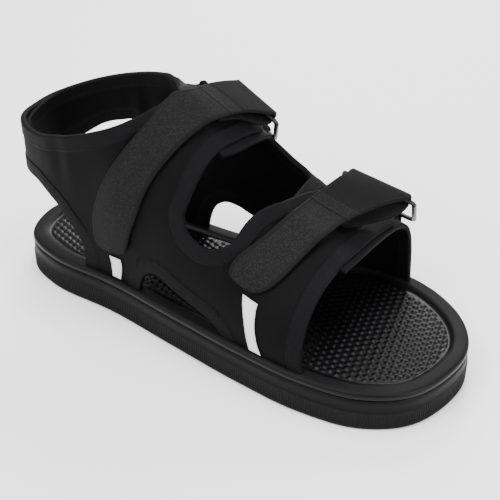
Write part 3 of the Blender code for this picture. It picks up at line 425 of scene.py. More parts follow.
class Last:
    """The surface that every soft piece of the upper follows."""

    def __init__(self) -> None:
        """Work out the columns of every station from the inner toe round to the outer toe."""
        table = dict(zip(LAST_COLUMNS, LAST.T))
        base = along_x(table["base"])
        outer, inner = self._feet(base)
        rise = INSTEP_HEIGHT - footbed_top()
        half_ball = BALL_WIDTH / 2
        top_x = along_x(table["top"])
        self.toe = len(LAST) - 1
        self.stations = np.arange(-self.toe, self.toe + 1)
        self.columns: Dict[str, Points] = {
            "base_x": self._both(base, base),
            "base_y": self._both(inner, -outer),
            "top_x": self._both(top_x, top_x),
            "top_y": self._both(inner * table["side_in"], -outer * table["side_out"]),
            "top_z": footbed_top() + rise * self._both(table["high_in"], table["high_out"]),
            "rise": self._both(table["rise_in"], table["rise_out"]),
            "reach": half_ball * self._both(table["reach_in"], table["reach_out"]),
            "level": self._both(table["level"], table["level"]),
        }

    @staticmethod
    def _both(inner_side: Points, outer_side: Points) -> Points:
        """Inner side's values toe to heel, then the outer side's heel to toe."""
        return np.concatenate([inner_side[::-1][:-1], outer_side])

    @staticmethod
    def _feet(x: Points) -> Tuple[Points, Points]:
        """Half widths of the wall's foot along the length, outer and inner, none at the heel.

        Args:
            x: places along the length.
        Returns:
            Outer and inner half widths there.
        """
        edge = outline(EDGE_INSET, 720)
        turn = int(np.argmax(edge[:, 0]))
        outer = edge[:turn + 1]
        inner = np.concatenate([edge[turn:], edge[:1]])
        outer = outer[np.argsort(outer[:, 0])]
        inner = inner[np.argsort(inner[:, 0])]
        half_out = -np.interp(x, outer[:, 0], outer[:, 1])
        half_in = np.interp(x, inner[:, 0], inner[:, 1])
        half_out[0] = 0.0
        half_in[0] = 0.0
        return half_out, half_in

    def _one_side(self, station: Points, up: Points) -> Points:
        """Point on the station's own side: a cubic from the wall's foot to its top.

        Args:
            station: stations of the points.
            up: their shares up.
        Returns:
            The points.
        """
        col = {name: through(self.stations, values, station)
               for name, values in self.columns.items()}
        zero = 0 * col["base_x"]
        foot = np.stack([col["base_x"], col["base_y"], zero + footbed_top()], -1)
        top = np.stack([col["top_x"], col["top_y"], col["top_z"]], -1)
        height = col["top_z"] - footbed_top()
        lift = np.array([0.0, 0.0, 1.0])
        low = foot + (col["rise"] * height)[..., None] * lift
        across = np.stack([zero, np.sign(station) + zero, zero], -1)
        level = col["level"][..., None]
        high = top - unit(across * level + lift * (1 - level)) * col["reach"][..., None]
        part = np.clip(up, 0.0, 1.0)[..., None]
        point = (1 - part)**3 * foot + 3 * (1 - part)**2 * part * low
        point = point + 3 * (1 - part) * part**2 * high + part**3 * top
        return point - lift * (np.minimum(up, 0.0) * FOOTBED_RISE / SEAT)[..., None]

    def point(self, station: Points, up: Points) -> Points:
        """Point of the last; a share up past 1 has crossed the ridge to the other side.

        Args:
            station: stations of the points.
            up: their shares up.
        Returns:
            The points.
        """
        station, up = np.broadcast_arrays(np.asarray(station, float), np.asarray(up, float))
        over = (up > 1) & (np.abs(station) >= RIDGE_START)
        own = np.where(over, 2 - up, np.minimum(up, 1.0))
        return self._one_side(np.where(over, -station, station), own)

    def normal(self, station: Points, up: Points, step: float = 1e-3) -> Points:
        """Outward direction, from differences that stay on the point's own side.

        Args:
            station: stations of the points.
            up: their shares up.
            step: half the difference taken.
        Returns:
            Unit vectors.
        """
        station, up = np.broadcast_arrays(np.asarray(station, float), np.asarray(up, float))
        over = (up > 1) & (np.abs(station) >= RIDGE_START)
        up = np.where(over, up, np.minimum(up, 1.0))
        low = np.where(over, np.maximum(up - step, 1 + ROUND), up - step)
        high = np.where(over, up + step, np.minimum(up + step, 1.0))
        along = self.point(station + step, up) - self.point(station - step, up)
        rise = self.point(station, high) - self.point(station, low)
        return unit(np.cross(along, rise))


LAST_SURFACE = Last()


def fuse_lift(station: Points, up: Points) -> Points:
    """How far the outer quarter stands off the last where it lies on the inner quarter.

    Args:
        station: stations of the points.
        up: their shares up.
    Returns:
        Distance off the last at each point.
    """
    start, run = OVERLAP_UP
    first, fade = OVERLAP_STATION
    over_ridge = ease((up - start) / run) * ease((np.abs(station) - first) / fade)
    at_heel = ease((HEEL_OVERLAP[0] - station) / HEEL_OVERLAP[1])
    lift = (WALL - FUSE) * np.maximum(over_ridge, at_heel)
    return lift + ease(-station / BAND_RUN) * BAND_STAND


def on_upper(station: Points, up: Points, lift: Points) -> Points:
    """Point over the outer quarter, clear of its binding.

    Args:
        station: stations of the points.
        up: their shares up.
        lift: distance from the binding's face.
    Returns:
        The points.
    """
    stand = fuse_lift(station, up) + BINDING_RAISE + lift
    place = LAST_SURFACE.point(station, up)
    return place + LAST_SURFACE.normal(station, up) * stand[..., None]


@dataclass
class Surface:
    """Closed body of an outer and an under grid of points, over the cells that are filled.

    Args:
        outer: points of the outside, columns by rows by 3.
        under: points of the inside, the same shape.
        cells: which cells are filled.
        facts: numbers kept at each point for the finish, such as the distance to the edge.
    """

    outer: Points
    under: Points
    cells: Points
    facts: Dict[str, Points] = field(default_factory=dict)

    def quads(self) -> Points:
        """Corner numbers of the outside's filled cells.

        Returns:
            Four numbers for each filled cell.
        """
        columns, rows = self.outer.shape[:2]
        index = np.arange(columns * rows).reshape(columns, rows)
        corners = (index[:-1, :-1], index[1:, :-1], index[1:, 1:], index[:-1, 1:])
        return np.stack(corners, -1)[self.cells]

    def rim(self) -> Points:
        """Directed edges that only one filled cell has.

        Returns:
            Start and end number of each edge.
        """
        quads = self.quads()
        edges = np.concatenate([quads[:, [i, (i + 1) % 4]] for i in range(4)])
        count = self.outer.shape[0] * self.outer.shape[1]
        code = edges[:, 0] * count + edges[:, 1]
        return edges[~np.isin(edges[:, 1] * count + edges[:, 0], code)]

    def build(self, name: str) -> Object:
        """Mesh object of the body, smooth, with its facts as attributes.

        Args:
            name: name of the object.
        Returns:
            The object.
        """
        quads = self.quads()
        rim = self.rim()
        shift = self.outer.shape[0] * self.outer.shape[1]
        sides = np.stack([rim[:, 1], rim[:, 0], rim[:, 0] + shift, rim[:, 1] + shift], 1)
        faces = np.concatenate([quads, quads[:, ::-1] + shift, sides])
        points = np.concatenate([self.outer.reshape(-1, 3), self.under.reshape(-1, 3)])
        facts = {key: np.tile(values.ravel(), 2) for key, values in self.facts.items()}
        return make_mesh(name, points, faces, facts)


def make_mesh(name: str, points: Points, faces: Points, facts: Dict[str, Points]) -> Object:
    """Smooth object of quads and triangles, with unused points left out.

    Args:
        name: name of the object.
        points: all points.
        faces: corner numbers by fours; a face that repeats a corner is a triangle.
        facts: numbers kept at each point.
    Returns:
        The object, linked to the scene.
    """
    again = faces == np.roll(faces, 1, axis=1)
    slim = again.any(axis=1)
    quads = faces[~slim]
    triangles = faces[slim][~again[slim]].reshape(-1, 3)
    corners = np.concatenate([quads.ravel(), triangles.ravel()])
    starts = np.concatenate([np.arange(len(quads)) * 4,
                             quads.size + np.arange(len(triangles)) * 3])
    used, corners = np.unique(corners, return_inverse=True)
    mesh = bpy.data.meshes.new(name)
    mesh.vertices.add(len(used))
    mesh.vertices.foreach_set("co", (points[used] + SHIFT).astype(np.float32).ravel())
    mesh.loops.add(len(corners))
    mesh.loops.foreach_set("vertex_index", corners.astype(np.int32))
    mesh.polygons.add(len(starts))
    mesh.polygons.foreach_set("loop_start", starts.astype(np.int32))
    mesh.update(calc_edges=True)
    mesh.polygons.foreach_set("use_smooth", np.ones(len(starts), bool))
    for key, values in facts.items():
        layer = mesh.attributes.new(key, "FLOAT", "POINT")
        layer.data.foreach_set("value", values[used].astype(np.float32))
    mesh.validate()
    mesh.update()
    obj = bpy.data.objects.new(name, mesh)
    bpy.context.scene.collection.objects.link(obj)
    return obj


def mesh_distance(points: Points, starts: Points, ends: Points,
                  arcs: Points) -> Tuple[Points, Points]:
    """Distance from points to a chain of straight pieces, and the place along it.

    Args:
        points: the points.
        starts: start of each piece.
        ends: end of each piece.
        arcs: place along the chain of each piece's start.
    Returns:
        Distance and place along for each point, from the nearest spot of the nearest piece.
    """
    run = ends - starts
    square = np.maximum((run**2).sum(-1), ROUND**2)
    far = []
    place = []
    for some in np.array_split(points, max(1, len(points) // 1500)):
        part = np.clip(((some[:, None] - starts) * run).sum(-1) / square, 0.0, 1.0)
        away = np.linalg.norm(some[:, None] - starts - part[..., None] * run, axis=-1)
        best = away.argmin(axis=1)
        rows = np.arange(len(some))
        far.append(away[rows, best])
        place.append(arcs[best] + part[rows, best] * np.sqrt(square[best]))
    return np.concatenate(far), np.concatenate(place)


def chain_places(edges: Points, points: Points) -> Points:
    """Place along a closed chain of each edge's start, by doubling steps along the chain.

    Args:
        edges: directed edges that form one closed chain, in any order.
        points: all points.
    Returns:
        Length of the chain from its first edge's start to each edge's start.
    """
    follow = np.arange(len(points))
    follow[edges[:, 0]] = edges[:, 1]
    left = np.zeros(len(points))
    left[edges[:, 0]] = np.linalg.norm(points[edges[:, 1]] - points[edges[:, 0]], axis=1)
    total = left.sum()
    stop = edges[0, 0]
    before_stop = edges[edges[:, 1] == stop][0, 0]
    follow[before_stop] = before_stop
    left[before_stop] = 0.0
    for _ in range(int(math.log2(len(edges))) + 2):
        left = left + left[follow]
        follow = follow[follow]
    return total - left[edges[:, 0]]


class Layer(Enum):
    """Which of the two quarters a sheet is."""

    OUTER = "outer"
    INNER = "inner"


# Dents: station, share up, lean, half length, half width (mm) and depth (mm)
CREASES = {
    Layer.OUTER: ((5.6, 0.90, 1.2, 0.55, 3.2, 0.8), (8.15, 0.72, -0.9, 0.50, 3.4, 0.7),
                  (2.9, 0.88, 0.4, 0.45, 4.0, 0.6), (9.9, 0.80, 0.8, 0.45, 3.6, 0.7),
                  (12.4, 1.15, -0.5, 0.45, 3.2, 0.6), (-2.6, 0.86, 0.3, 0.50, 4.0, 0.5)),
    Layer.INNER: ((-5.1, 0.86, -0.6, 0.55, 4.2, 0.9), (-7.2, 0.70, 0.8, 0.55, 4.6, 0.9),
                  (-3.3, 0.78, -0.3, 0.45, 4.0, 0.7), (-10.6, 0.84, 0.9, 0.50, 4.2, 0.7),
                  (-12.2, 0.62, 0.4, 0.45, 3.6, 0.6), (-8.6, 0.90, -0.6, 0.40, 4.0, 0.6)),
}
# Distances of the points' rows from a bound edge
EDGE_STEPS = MILLIMETRE * np.array([0.0, 0.15, 0.45, 0.9, 1.6, 2.8, 4.4, 6.0, 6.8, 7.2, 7.7,
                                    8.4, 9.0, 9.5, 10.2])


def creases(layer: Layer, station: Points, up: Points, points: Points) -> Points:
    """Depth of the listed dents, each a bell along and across its leaning line.

    Args:
        layer: the quarter.
        station: stations of its points.
        up: their shares up.
        points: the points.
    Returns:
        Depth at each point; the shoulders beside a dent stand up a little.
    """
    depth = 0 * station
    for at, high, lean, long, wide, deep in CREASES[layer]:
        heart = LAST_SURFACE.point(np.array(at), np.array(high))
        run = unit(LAST_SURFACE.point(np.array(at + lean * 0.2), np.array(high - 0.2)) - heart)
        away = points - heart
        forward = (away * run).sum(-1)
        sideways = np.linalg.norm(away - forward[..., None] * run, axis=-1)
        half = wide * MILLIMETRE
        across = hump(sideways, half) - CREASE_SHOULDER * hump(sideways - 2 * half, half)
        depth = depth + deep * MILLIMETRE * hump(forward, long * CREASE_RUN) * across
    return depth


@dataclass
class Quarter:
    """One quarter of the upper: a bound sheet that runs from the heel to the front flap.

    Args:
        layer: outer or inner quarter.
        rear: rib tables from the heel to the rear flap.
        middle: ribs of the low waist between the flaps.
        front: ribs of the front leg and flap.
        counts: columns in each table.
        inside_rows: rows between the edge steps.
    """

    layer: Layer
    rear: Tuple[Points, ...]
    middle: Points
    front: Points
    counts: Tuple[int, ...]
    inside_rows: int = 16

    @staticmethod
    def rib_points(ribs: Points, shares: Points) -> Tuple[Points, Points]:
        """Station and share up along ribs: the quadratic through lower edge, waist, upper edge.

        Args:
            ribs: rows of a rib table.
            shares: 0 at the lower edge, 1 at the waist, 2 at the upper edge.
        Returns:
            Stations and shares up.
        """
        shares = np.atleast_2d(shares)
        low = (shares - 1) * (shares - 2) / 2
        mid = shares * (2 - shares)
        high = shares * (shares - 1) / 2
        station = low * ribs[:, 0:1] + mid * ribs[:, 2:3] + high * ribs[:, 4:5]
        up = low * ribs[:, 1:2] + mid * ribs[:, 3:4] + high * ribs[:, 5:6]
        return station, up

    def rib_length(self, ribs: Points, start: float, end: float) -> Points:
        """Length of the ribs between two shares.

        Args:
            ribs: rows of a rib table.
            start: first share.
            end: last share.
        Returns:
            Length of each rib.
        """
        station, up = self.rib_points(ribs, np.linspace(start, end, 9))
        steps = np.diff(LAST_SURFACE.point(station, up), axis=1)
        return np.linalg.norm(steps, axis=-1).sum(axis=1)

    def places(self, keys: Points, count: int, edges: Sequence[str], share: float) -> Points:
        """Columns' places in a rib table, close together at its free ends.

        Args:
            keys: the rib table.
            count: cells between its ends.
            edges: which ends are free, start, end or both.
            share: share on the ribs where the columns are spaced.
        Returns:
            Places in the table, rising.
        """
        end = len(keys) - 1.0
        head = np.array([0.0])
        tail = np.array([end])
        if "start" in edges:
            head = self.near_edge(keys, 0.0, 1.0, share)
        if "end" in edges:
            tail = self.near_edge(keys, end, -1.0, share)[::-1]
        inside = np.linspace(head[-1], tail[0], count + 1)[1:-1]
        return np.concatenate([head, inside, tail])

    def near_edge(self, keys: Points, place: float, sign: float, share: float) -> Points:
        """Places at the edge steps' distances from a free end.

        Args:
            keys: the rib table.
            place: place of the free end.
            sign: 1 when the sheet lies after it, -1 before.
            share: share on the ribs where the columns are spaced.
        Returns:
            A place for each edge step.
        """
        tries = np.linspace(0.0, 3.0, 61)
        ribs = through(np.arange(len(keys)), keys, place + sign * tries)
        station, up = self.rib_points(ribs, np.array([share]))
        points = LAST_SURFACE.point(station, up)[:, 0]
        away = np.linalg.norm(points - points[0], axis=1)
        return place + sign * np.interp(EDGE_STEPS, away, tries)

    def row_shares(self, ribs: Points) -> Tuple[Points, int]:
        """Rows' shares on each rib, close together at the edges and below the waist.

        Args:
            ribs: all ribs of the sheet.
        Returns:
            Shares of each rib, and the waist's row.
        """
        lower = np.maximum(self.rib_length(ribs, 0.0, 1.0), 3 * BINDING_WIDTH)[:, None]
        upper = np.maximum(self.rib_length(ribs, 1.0, 2.0), 2 * BINDING_WIDTH)[:, None]
        low = EDGE_STEPS[None, :] / lower
        high = EDGE_STEPS[None, :] / upper
        inside = np.linspace(0.0, 1.0, self.inside_rows + 1)[None, 1:-1]
        between = low[:, -1:] + (1 - 2 * low[:, -1:]) * inside
        above = 1 + (1 - high[:, -1:]) * inside
        rows = [low, between, 1 - low[:, ::-1], above, 2 - high[:, ::-1]]
        return np.concatenate(rows, axis=1), 2 * low.shape[1] + between.shape[1] - 1

    def table_ribs(self, table: Points, count: int, edges: Sequence[str], share: float) -> Points:
        """Ribs of a table at the columns' places."""
        return through(np.arange(len(table)), table, self.places(table, count, edges, share))

    def grid(self) -> Tuple[Points, Points, Points]:
        """Station, share up and filled cells of the whole sheet.

        Returns:
            The three grids.
        """
        last = len(self.rear) - 1
        rear = np.concatenate([
            self.table_ribs(table, count, ("end",) if index == last else (),
                            REAR_SHARE)[min(index, 1):]
            for index, (table, count) in enumerate(zip(self.rear, self.counts))])
        middle = self.table_ribs(self.middle, self.counts[-2], (), WAIST_SHARE)
        front = self.table_ribs(self.front, self.counts[-1], ("start", "end"), FRONT_SHARE)
        full = middle.copy()
        full[:, 2:4] = middle[:, 4:6]
        full[:, 4:6] = 3 * middle[:, 0:2] - 8 * middle[:, 2:4] + 6 * middle[:, 4:6]
        ribs = np.concatenate([rear, full[1:-1], front])
        shares, waist = self.row_shares(ribs)
        station, up = self.rib_points(ribs, shares)
        cells = np.ones((len(ribs) - 1, shares.shape[1] - 1), bool)
        cells[len(rear) - 1:len(rear) + len(middle) - 2, waist:] = False
        return station, up, cells

    def edge_field(self, place: Points, up: Points, cells: Points) -> Tuple[Points, Points]:
        """Distance of each point to the bound edge, and the place along that edge.

        Args:
            place: points of the last.
            up: their shares up.
            cells: which cells are filled.
        Returns:
            Distance and place along for each point.
        """
        rim = Surface(place, place, cells).rim()
        points = place.reshape(-1, 3)
        bound = (up.ravel()[rim] > SEAT / 2).any(axis=1)
        arcs = chain_places(rim, points)[bound]
        edge, along = mesh_distance(points, points[rim[bound, 0]], points[rim[bound, 1]], arcs)
        return edge.reshape(up.shape), along.reshape(up.shape)

    def build(self) -> Object:
        """Sheet whose surface stands off the last by its lift, its binding and its dents.

        The binding is a flat bell: it rises round the edge within a millimetre, keeps half a
        millimetre up to its own border, and has a thin furrow under the stitches.

        Returns:
            The object.
        """
        station, up, cells = self.grid()
        place = LAST_SURFACE.point(station, up)
        normal = LAST_SURFACE.normal(station, up)
        edge, along = self.edge_field(place, up, cells)
        rounded = np.clip(edge / EDGE_ROUND, 0.0, 1.0)
        rounded = EDGE_ROUND * (1 - np.sqrt(1 - (1 - rounded)**2))
        raised = BINDING_RAISE * ease((BINDING_WIDTH + STEP_RUN - edge) / STEP_RUN)
        for line, (deep, wide) in ((STITCH_LINE, STITCH_FURROW),
                                   (BINDING_WIDTH + STEP_RUN, STEP_FURROW)):
            raised = raised - deep * hump(edge - line, wide)
        lift = fuse_lift(station, up) if self.layer is Layer.OUTER else 0 * station
        dents = creases(self.layer, station, up, place) * ease((up - SEAT) / 0.2)
        top = place + normal * (lift + raised - rounded - dents)[..., None]
        under = place + normal * (lift - WALL + rounded - dents)[..., None]
        facts = {"edge_far": edge, "edge_place": along}
        if self.layer is Layer.INNER:
            top, under, cells = top[::-1], under[::-1], cells[::-1]
            facts = {key: values[::-1] for key, values in facts.items()}
        return Surface(top, under, cells, facts).build("upper_" + self.layer.value)


@dataclass
class Ribbon:
    """Strip of even thickness about a middle surface, with rounded edges.

    Args:
        name: name of the piece.
        rows: points of the middle, path by width by 3.
        thick: thickness.
        seam: place along the path of the seam across, if there is one.
    """

    name: str
    rows: Points
    thick: float
    seam: Optional[float] = None

    def build(self) -> Object:
        """Body of the strip; its face steps up a little past the seam.

        Returns:
            The object.
        """
        along = np.gradient(self.rows, axis=0)
        across = np.gradient(self.rows, axis=1)
        normal = unit(np.cross(across, along))
        path = self._run(0)
        width = self._run(1)
        edge = np.minimum(np.minimum(width, width[:, -1:] - width),
                          np.minimum(path, path[-1:] - path))
        half = self.thick / 2
        near = np.clip(edge / half, 0.0, 1.0)
        body = half * (RIBBON_EDGE + (1 - RIBBON_EDGE) * np.sqrt(1 - (1 - near)**2))
        top = body
        facts = {"edge_far": edge, "edge_place": path, "cross": width}
        if self.seam is not None:
            middle = path[:, path.shape[1] // 2:path.shape[1] // 2 + 1]
            past = middle - self.seam
            step = SEAM_STEP * self.thick * ease(past / 0.0005)
            dents = 0.00012 * (hump(past + 0.0018, 0.0005) + hump(edge - 0.0016, 0.0004))
            fade = ease((0.5 * path[-1:] + self.seam - path) / SEAM_FADE)
            top = body + (step - dents) * near * fade
            facts["past_seam"] = ease(past / STEP_RUN)
            facts["seam_far"] = -past
        outer = (self.rows + normal * top[..., None]).transpose(1, 0, 2)
        under = (self.rows - normal * body[..., None]).transpose(1, 0, 2)
        facts = {key: np.broadcast_to(values, edge.shape).T for key, values in facts.items()}
        cells = np.ones((outer.shape[0] - 1, outer.shape[1] - 1), bool)
        return Surface(outer, under, cells, facts).build(self.name)

    def _run(self, axis: int) -> Points:
        """Length along the path or across it to each point.

        Args:
            axis: 0 along the path, 1 across it.
        Returns:
            The lengths.
        """
        steps = np.linalg.norm(np.diff(self.rows, axis=axis), axis=-1)
        pad = ((1, 0), (0, 0)) if axis == 0 else ((0, 0), (1, 0))
        return np.pad(np.cumsum(steps, axis=axis), pad)


def ribbon_grid(table: Points, count: int, across: int) -> Tuple[Points, Points, Points]:
    """Stations, shares up and arch of a ribbon, from its start and from edge to edge.

    Args:
        table: rows of both edges' station and share up, and their arch.
        count: points along.
        across: points across.
    Returns:
        The three grids.
    """
    rows = through(np.arange(len(table)), table, np.linspace(0, len(table) - 1, count))
    share = np.linspace(0.0, 1.0, across)[None, :]
    station = rows[:, 0:1] * (1 - share) + rows[:, 2:3] * share
    up = rows[:, 1:2] * (1 - share) + rows[:, 3:4] * share
    return station, up, rows[:, 4:5] * (1 - share) + rows[:, 5:6] * share


def half_turn(line: Points, run: Points, side: Points, radius: float, steps: int) -> Points:
    """Rows of a ribbon that folds back under itself: points of a half circle about each spot."""
    angle = np.linspace(0.0, np.pi, steps + 1)[:, None, None]
    return (line - side * radius)[None] + radius * (np.cos(angle) * side + np.sin(angle) * run)


def bezier_rows(start: Points, end: Points, start_run: Points, end_run: Points,
                steps: int) -> Points:
    """Rows of the cubic that leaves and arrives along the two directions.

    Args:
        start: points of the first row.
        end: points of the last row.
        start_run: direction at the start.
        end_run: direction at the end.
        steps: cells between them.
    Returns:
        The rows.
    """
    part = np.linspace(0.0, 1.0, steps + 1)[:, None, None]
    reach = np.linalg.norm(end - start, axis=-1)[None, :, None] / 3
    first = start[None] + start_run * reach
    second = end[None] - end_run * reach
    rows = (1 - part)**3 * start + 3 * (1 - part)**2 * part * first
    return rows + 3 * (1 - part) * part**2 * second + part**3 * end


@dataclass
class Fastening:
    """A strap with its ring, the ring's tab and the white stripe below the strap.

    Args:
        place: front or rear.
        strap: rib table of the strap.
        stripe: rib table of the stripe.
        tab: station of the tab, share up of the ring's bar and of the foot, and slack.
        seam: place along the strap of the seam across.
        across: points across the strap.
        along: points along it.
        turn: cells of each fold.
    """

    place: str
    strap: Points
    stripe: Points
    tab: Tuple[float, float, float, float]
    seam: float
    across: int = 33
    along: int = 150
    turn: int = 14

    def strap_rows(self) -> Tuple[Points, Points, Points]:
        """Middle surface of the strap, then its ring bar's line and the strap's run there.

        Returns:
            Rows of points, the line of the bar's points, and a unit vector.
        """
        station, up, arch = ribbon_grid(self.strap, self.along, self.across)
        landed = STRAP_GAP + STRAP_THICK / 2
        centre = on_upper(station, up, landed + arch * STRAP_ARCH)
        share = np.linspace(0.0, 1.0, self.across)[:, None]
        straight = centre[:, :1] * (1 - share) + centre[:, -1:] * share
        for _ in range(SMOOTH_PASSES):
            centre[1:-1] = (centre[:-2] + 2 * centre[1:-1] + centre[2:]) / 4
        late = ease((np.linspace(0.0, 1.0, self.along) - STRAIGHT_FROM)
                    / (1 - STRAIGHT_FROM))[:, None, None]
        centre = centre * (1 - late) + straight * late
        line = centre[-1]
        width = unit(line[-1] - line[0])
        run = unit((centre[-1] - centre[-12]).mean(axis=0))
        run = unit(run - width * run.dot(width))
        side = np.cross(width, run)
        radius = FOLD_RADIUS + STRAP_THICK / 2
        turn = half_turn(line, run, side, radius, self.turn)
        flat = np.linspace(0.0, 1.0, self.across)
        ends = through(np.arange(len(self.strap)), self.strap,
                       len(self.strap) - 1 - np.array(SEWN_ROWS))
        sewn = [on_upper(row[0] * (1 - flat) + row[2] * flat, row[1] * (1 - flat) + row[3] * flat,
                         landed + 0 * flat) for row in ends]
        into = unit(sewn[1] - sewn[0])
        back = bezier_rows(turn[-1], sewn[0], -run, into, self.turn)
        return np.concatenate([centre, turn[1:], back[1:], [sewn[1]]]), line - side * radius, run

    def ring_bars(self, heart: Points, run: Points) -> Tuple[Points, Points]:
        """Ends of the ring's upper bar in the strap's turn and of its lower bar at the wall.

        Args:
            heart: points of the bar's line, across the strap.
            run: the strap's direction at its turn.
        Returns:
            Both ends of each bar.
        """
        width = unit(heart[-1] - heart[0])
        slack = FOLD_RADIUS - RING_WIRE / 2 - GAP
        half = np.linalg.norm(heart[-1] - heart[0]) / 2 + RING_WIRE / 2 + RING_CORNER / 2
        middle = (heart[0] + heart[-1]) / 2 + run * slack
        stand = 3 * GAP + STRAP_GAP + TAB_THICK + RING_WIRE * (0.5 + self.tab[3])
        at = (np.array(self.tab[0]), np.array(self.tab[1]))
        down = LAST_SURFACE.point(*at) + LAST_SURFACE.normal(*at) * stand - middle
        down = down - width * down.dot(width)
        ends = np.stack([middle - width * half, middle + width * half])
        return ends, ends + down

    def ring(self, upper: Points, lower: Points) -> Object:
        """Tube along a rectangle with rounded corners: circles square to its path.

        Args:
            upper: ends of the upper bar.
            lower: ends of the lower bar.
        Returns:
            The object.
        """
        corners = np.array([upper[0], upper[1], lower[1], lower[0]])
        before = unit(np.roll(corners, 1, axis=0) - corners)
        after = unit(np.roll(corners, -1, axis=0) - corners)
        heart = corners + (before + after) * RING_CORNER
        angle = np.linspace(0.0, np.pi / 2, RING_ARC_POINTS)[None, :, None]
        bend = heart[:, None] - RING_CORNER * (np.cos(angle) * after[:, None]
                                               + np.sin(angle) * before[:, None])
        path = bend.reshape(-1, 3)
        run = unit(np.roll(path, -1, axis=0) - np.roll(path, 1, axis=0))
        flat = unit(np.cross(upper[1] - upper[0], lower[0] - upper[0]))
        side = unit(np.cross(run, flat))
        turn = np.linspace(0.0, 2 * np.pi, RING_SIDES, endpoint=False)[None, :, None]
        radius = RING_WIRE / 2 * (1 + RING_OVAL * np.cos(2 * turn))
        points = path[:, None] + radius * (np.cos(turn) * side[:, None] + np.sin(turn) * flat)
        count, round_steps = points.shape[:2]
        index = np.arange(count * round_steps).reshape(count, round_steps)
        ahead = np.roll(index, -1, axis=0)
        faces = np.stack([index, ahead, np.roll(ahead, -1, axis=1), np.roll(index, -1, axis=1)], -1)
        return make_mesh(self.place + "_ring_wire", points.reshape(-1, 3),
                         faces.reshape(-1, 4)[:, ::-1], {})

    def tab_rows(self, lower: Points) -> Points:
        """Middle surface of the tab: down the wall outside, round the bar and back inside.

        Args:
            lower: ends of the ring's lower bar.
        Returns:
            Rows of points.
        """
        middle = (lower[0] + lower[1]) / 2
        width = unit(lower[1] - lower[0])
        heart = middle + width * TAB_WIDTH * np.linspace(-0.5, 0.5, TAB_CELLS[1])[:, None]
        tries = np.linspace(-1.0, -LAST_SURFACE.toe, 53)
        bar_up, foot_up = self.tab[1], self.tab[2]
        place = np.interp(heart[:, 0], LAST_SURFACE.point(tries, bar_up)[:, 0], tries)
        share = np.linspace(0.0, 1.0, TAB_CELLS[0])[:, None]
        station = place[None, :] + 0 * share
        up = foot_up + (bar_up - foot_up) * share + 0 * station
        wall = LAST_SURFACE.point(station, up)
        normal = LAST_SURFACE.normal(station, up)
        near = GAP + STRAP_GAP + TAB_THICK / 2
        radius = RING_WIRE / 2 + 2 * GAP + TAB_THICK / 2
        shift = heart - (wall[-1] + normal[-1] * (near + radius))
        follow = (share**2)[..., None] * shift
        doubled = TAB_THICK + GAP + (2 * radius - TAB_THICK - GAP) * share**2
        inner = wall + normal * near + follow
        outer = wall + normal * (near + doubled)[..., None] + follow
        rise = unit(wall[-1] - wall[-2])
        rise = unit(rise - normal[-1] * (rise * normal[-1]).sum(axis=-1, keepdims=True))
        turn = half_turn(outer[-1], rise, normal[-1], radius, self.turn)
        return np.concatenate([outer, turn[1:-1], inner[::-1]])

    def stripe_rows(self) -> Points:
        """Middle surface of the stripe, on the quarter from the sole to the strap.

        Returns:
            Rows of points.
        """
        station, up, _ = ribbon_grid(np.pad(self.stripe, ((0, 0), (0, 2))), *STRIPE_CELLS)
        lift = STRAP_GAP + STRIPE_THICK / 2
        return LAST_SURFACE.point(station, up) + LAST_SURFACE.normal(station, up) * lift

    def build(self) -> Dict[str, Object]:
        """All four pieces, by the name of the node that each stands for.

        Returns:
            The objects.
        """
        rows, heart, run = self.strap_rows()
        upper, lower = self.ring_bars(heart, run)
        name = self.place
        strap = Ribbon(name + "_strap_cloth", rows, STRAP_THICK, self.seam)
        tab = Ribbon(name + "_tab_cloth", self.tab_rows(lower), TAB_THICK)
        stripe = Ribbon(name + "_stripe_tape", self.stripe_rows(), STRIPE_THICK)
        return {name + "_strap": strap.build(), name + "_ring": self.ring(upper, lower),
                name + "_ring_tab": tab.build(), name + "_stripe": stripe.build()}


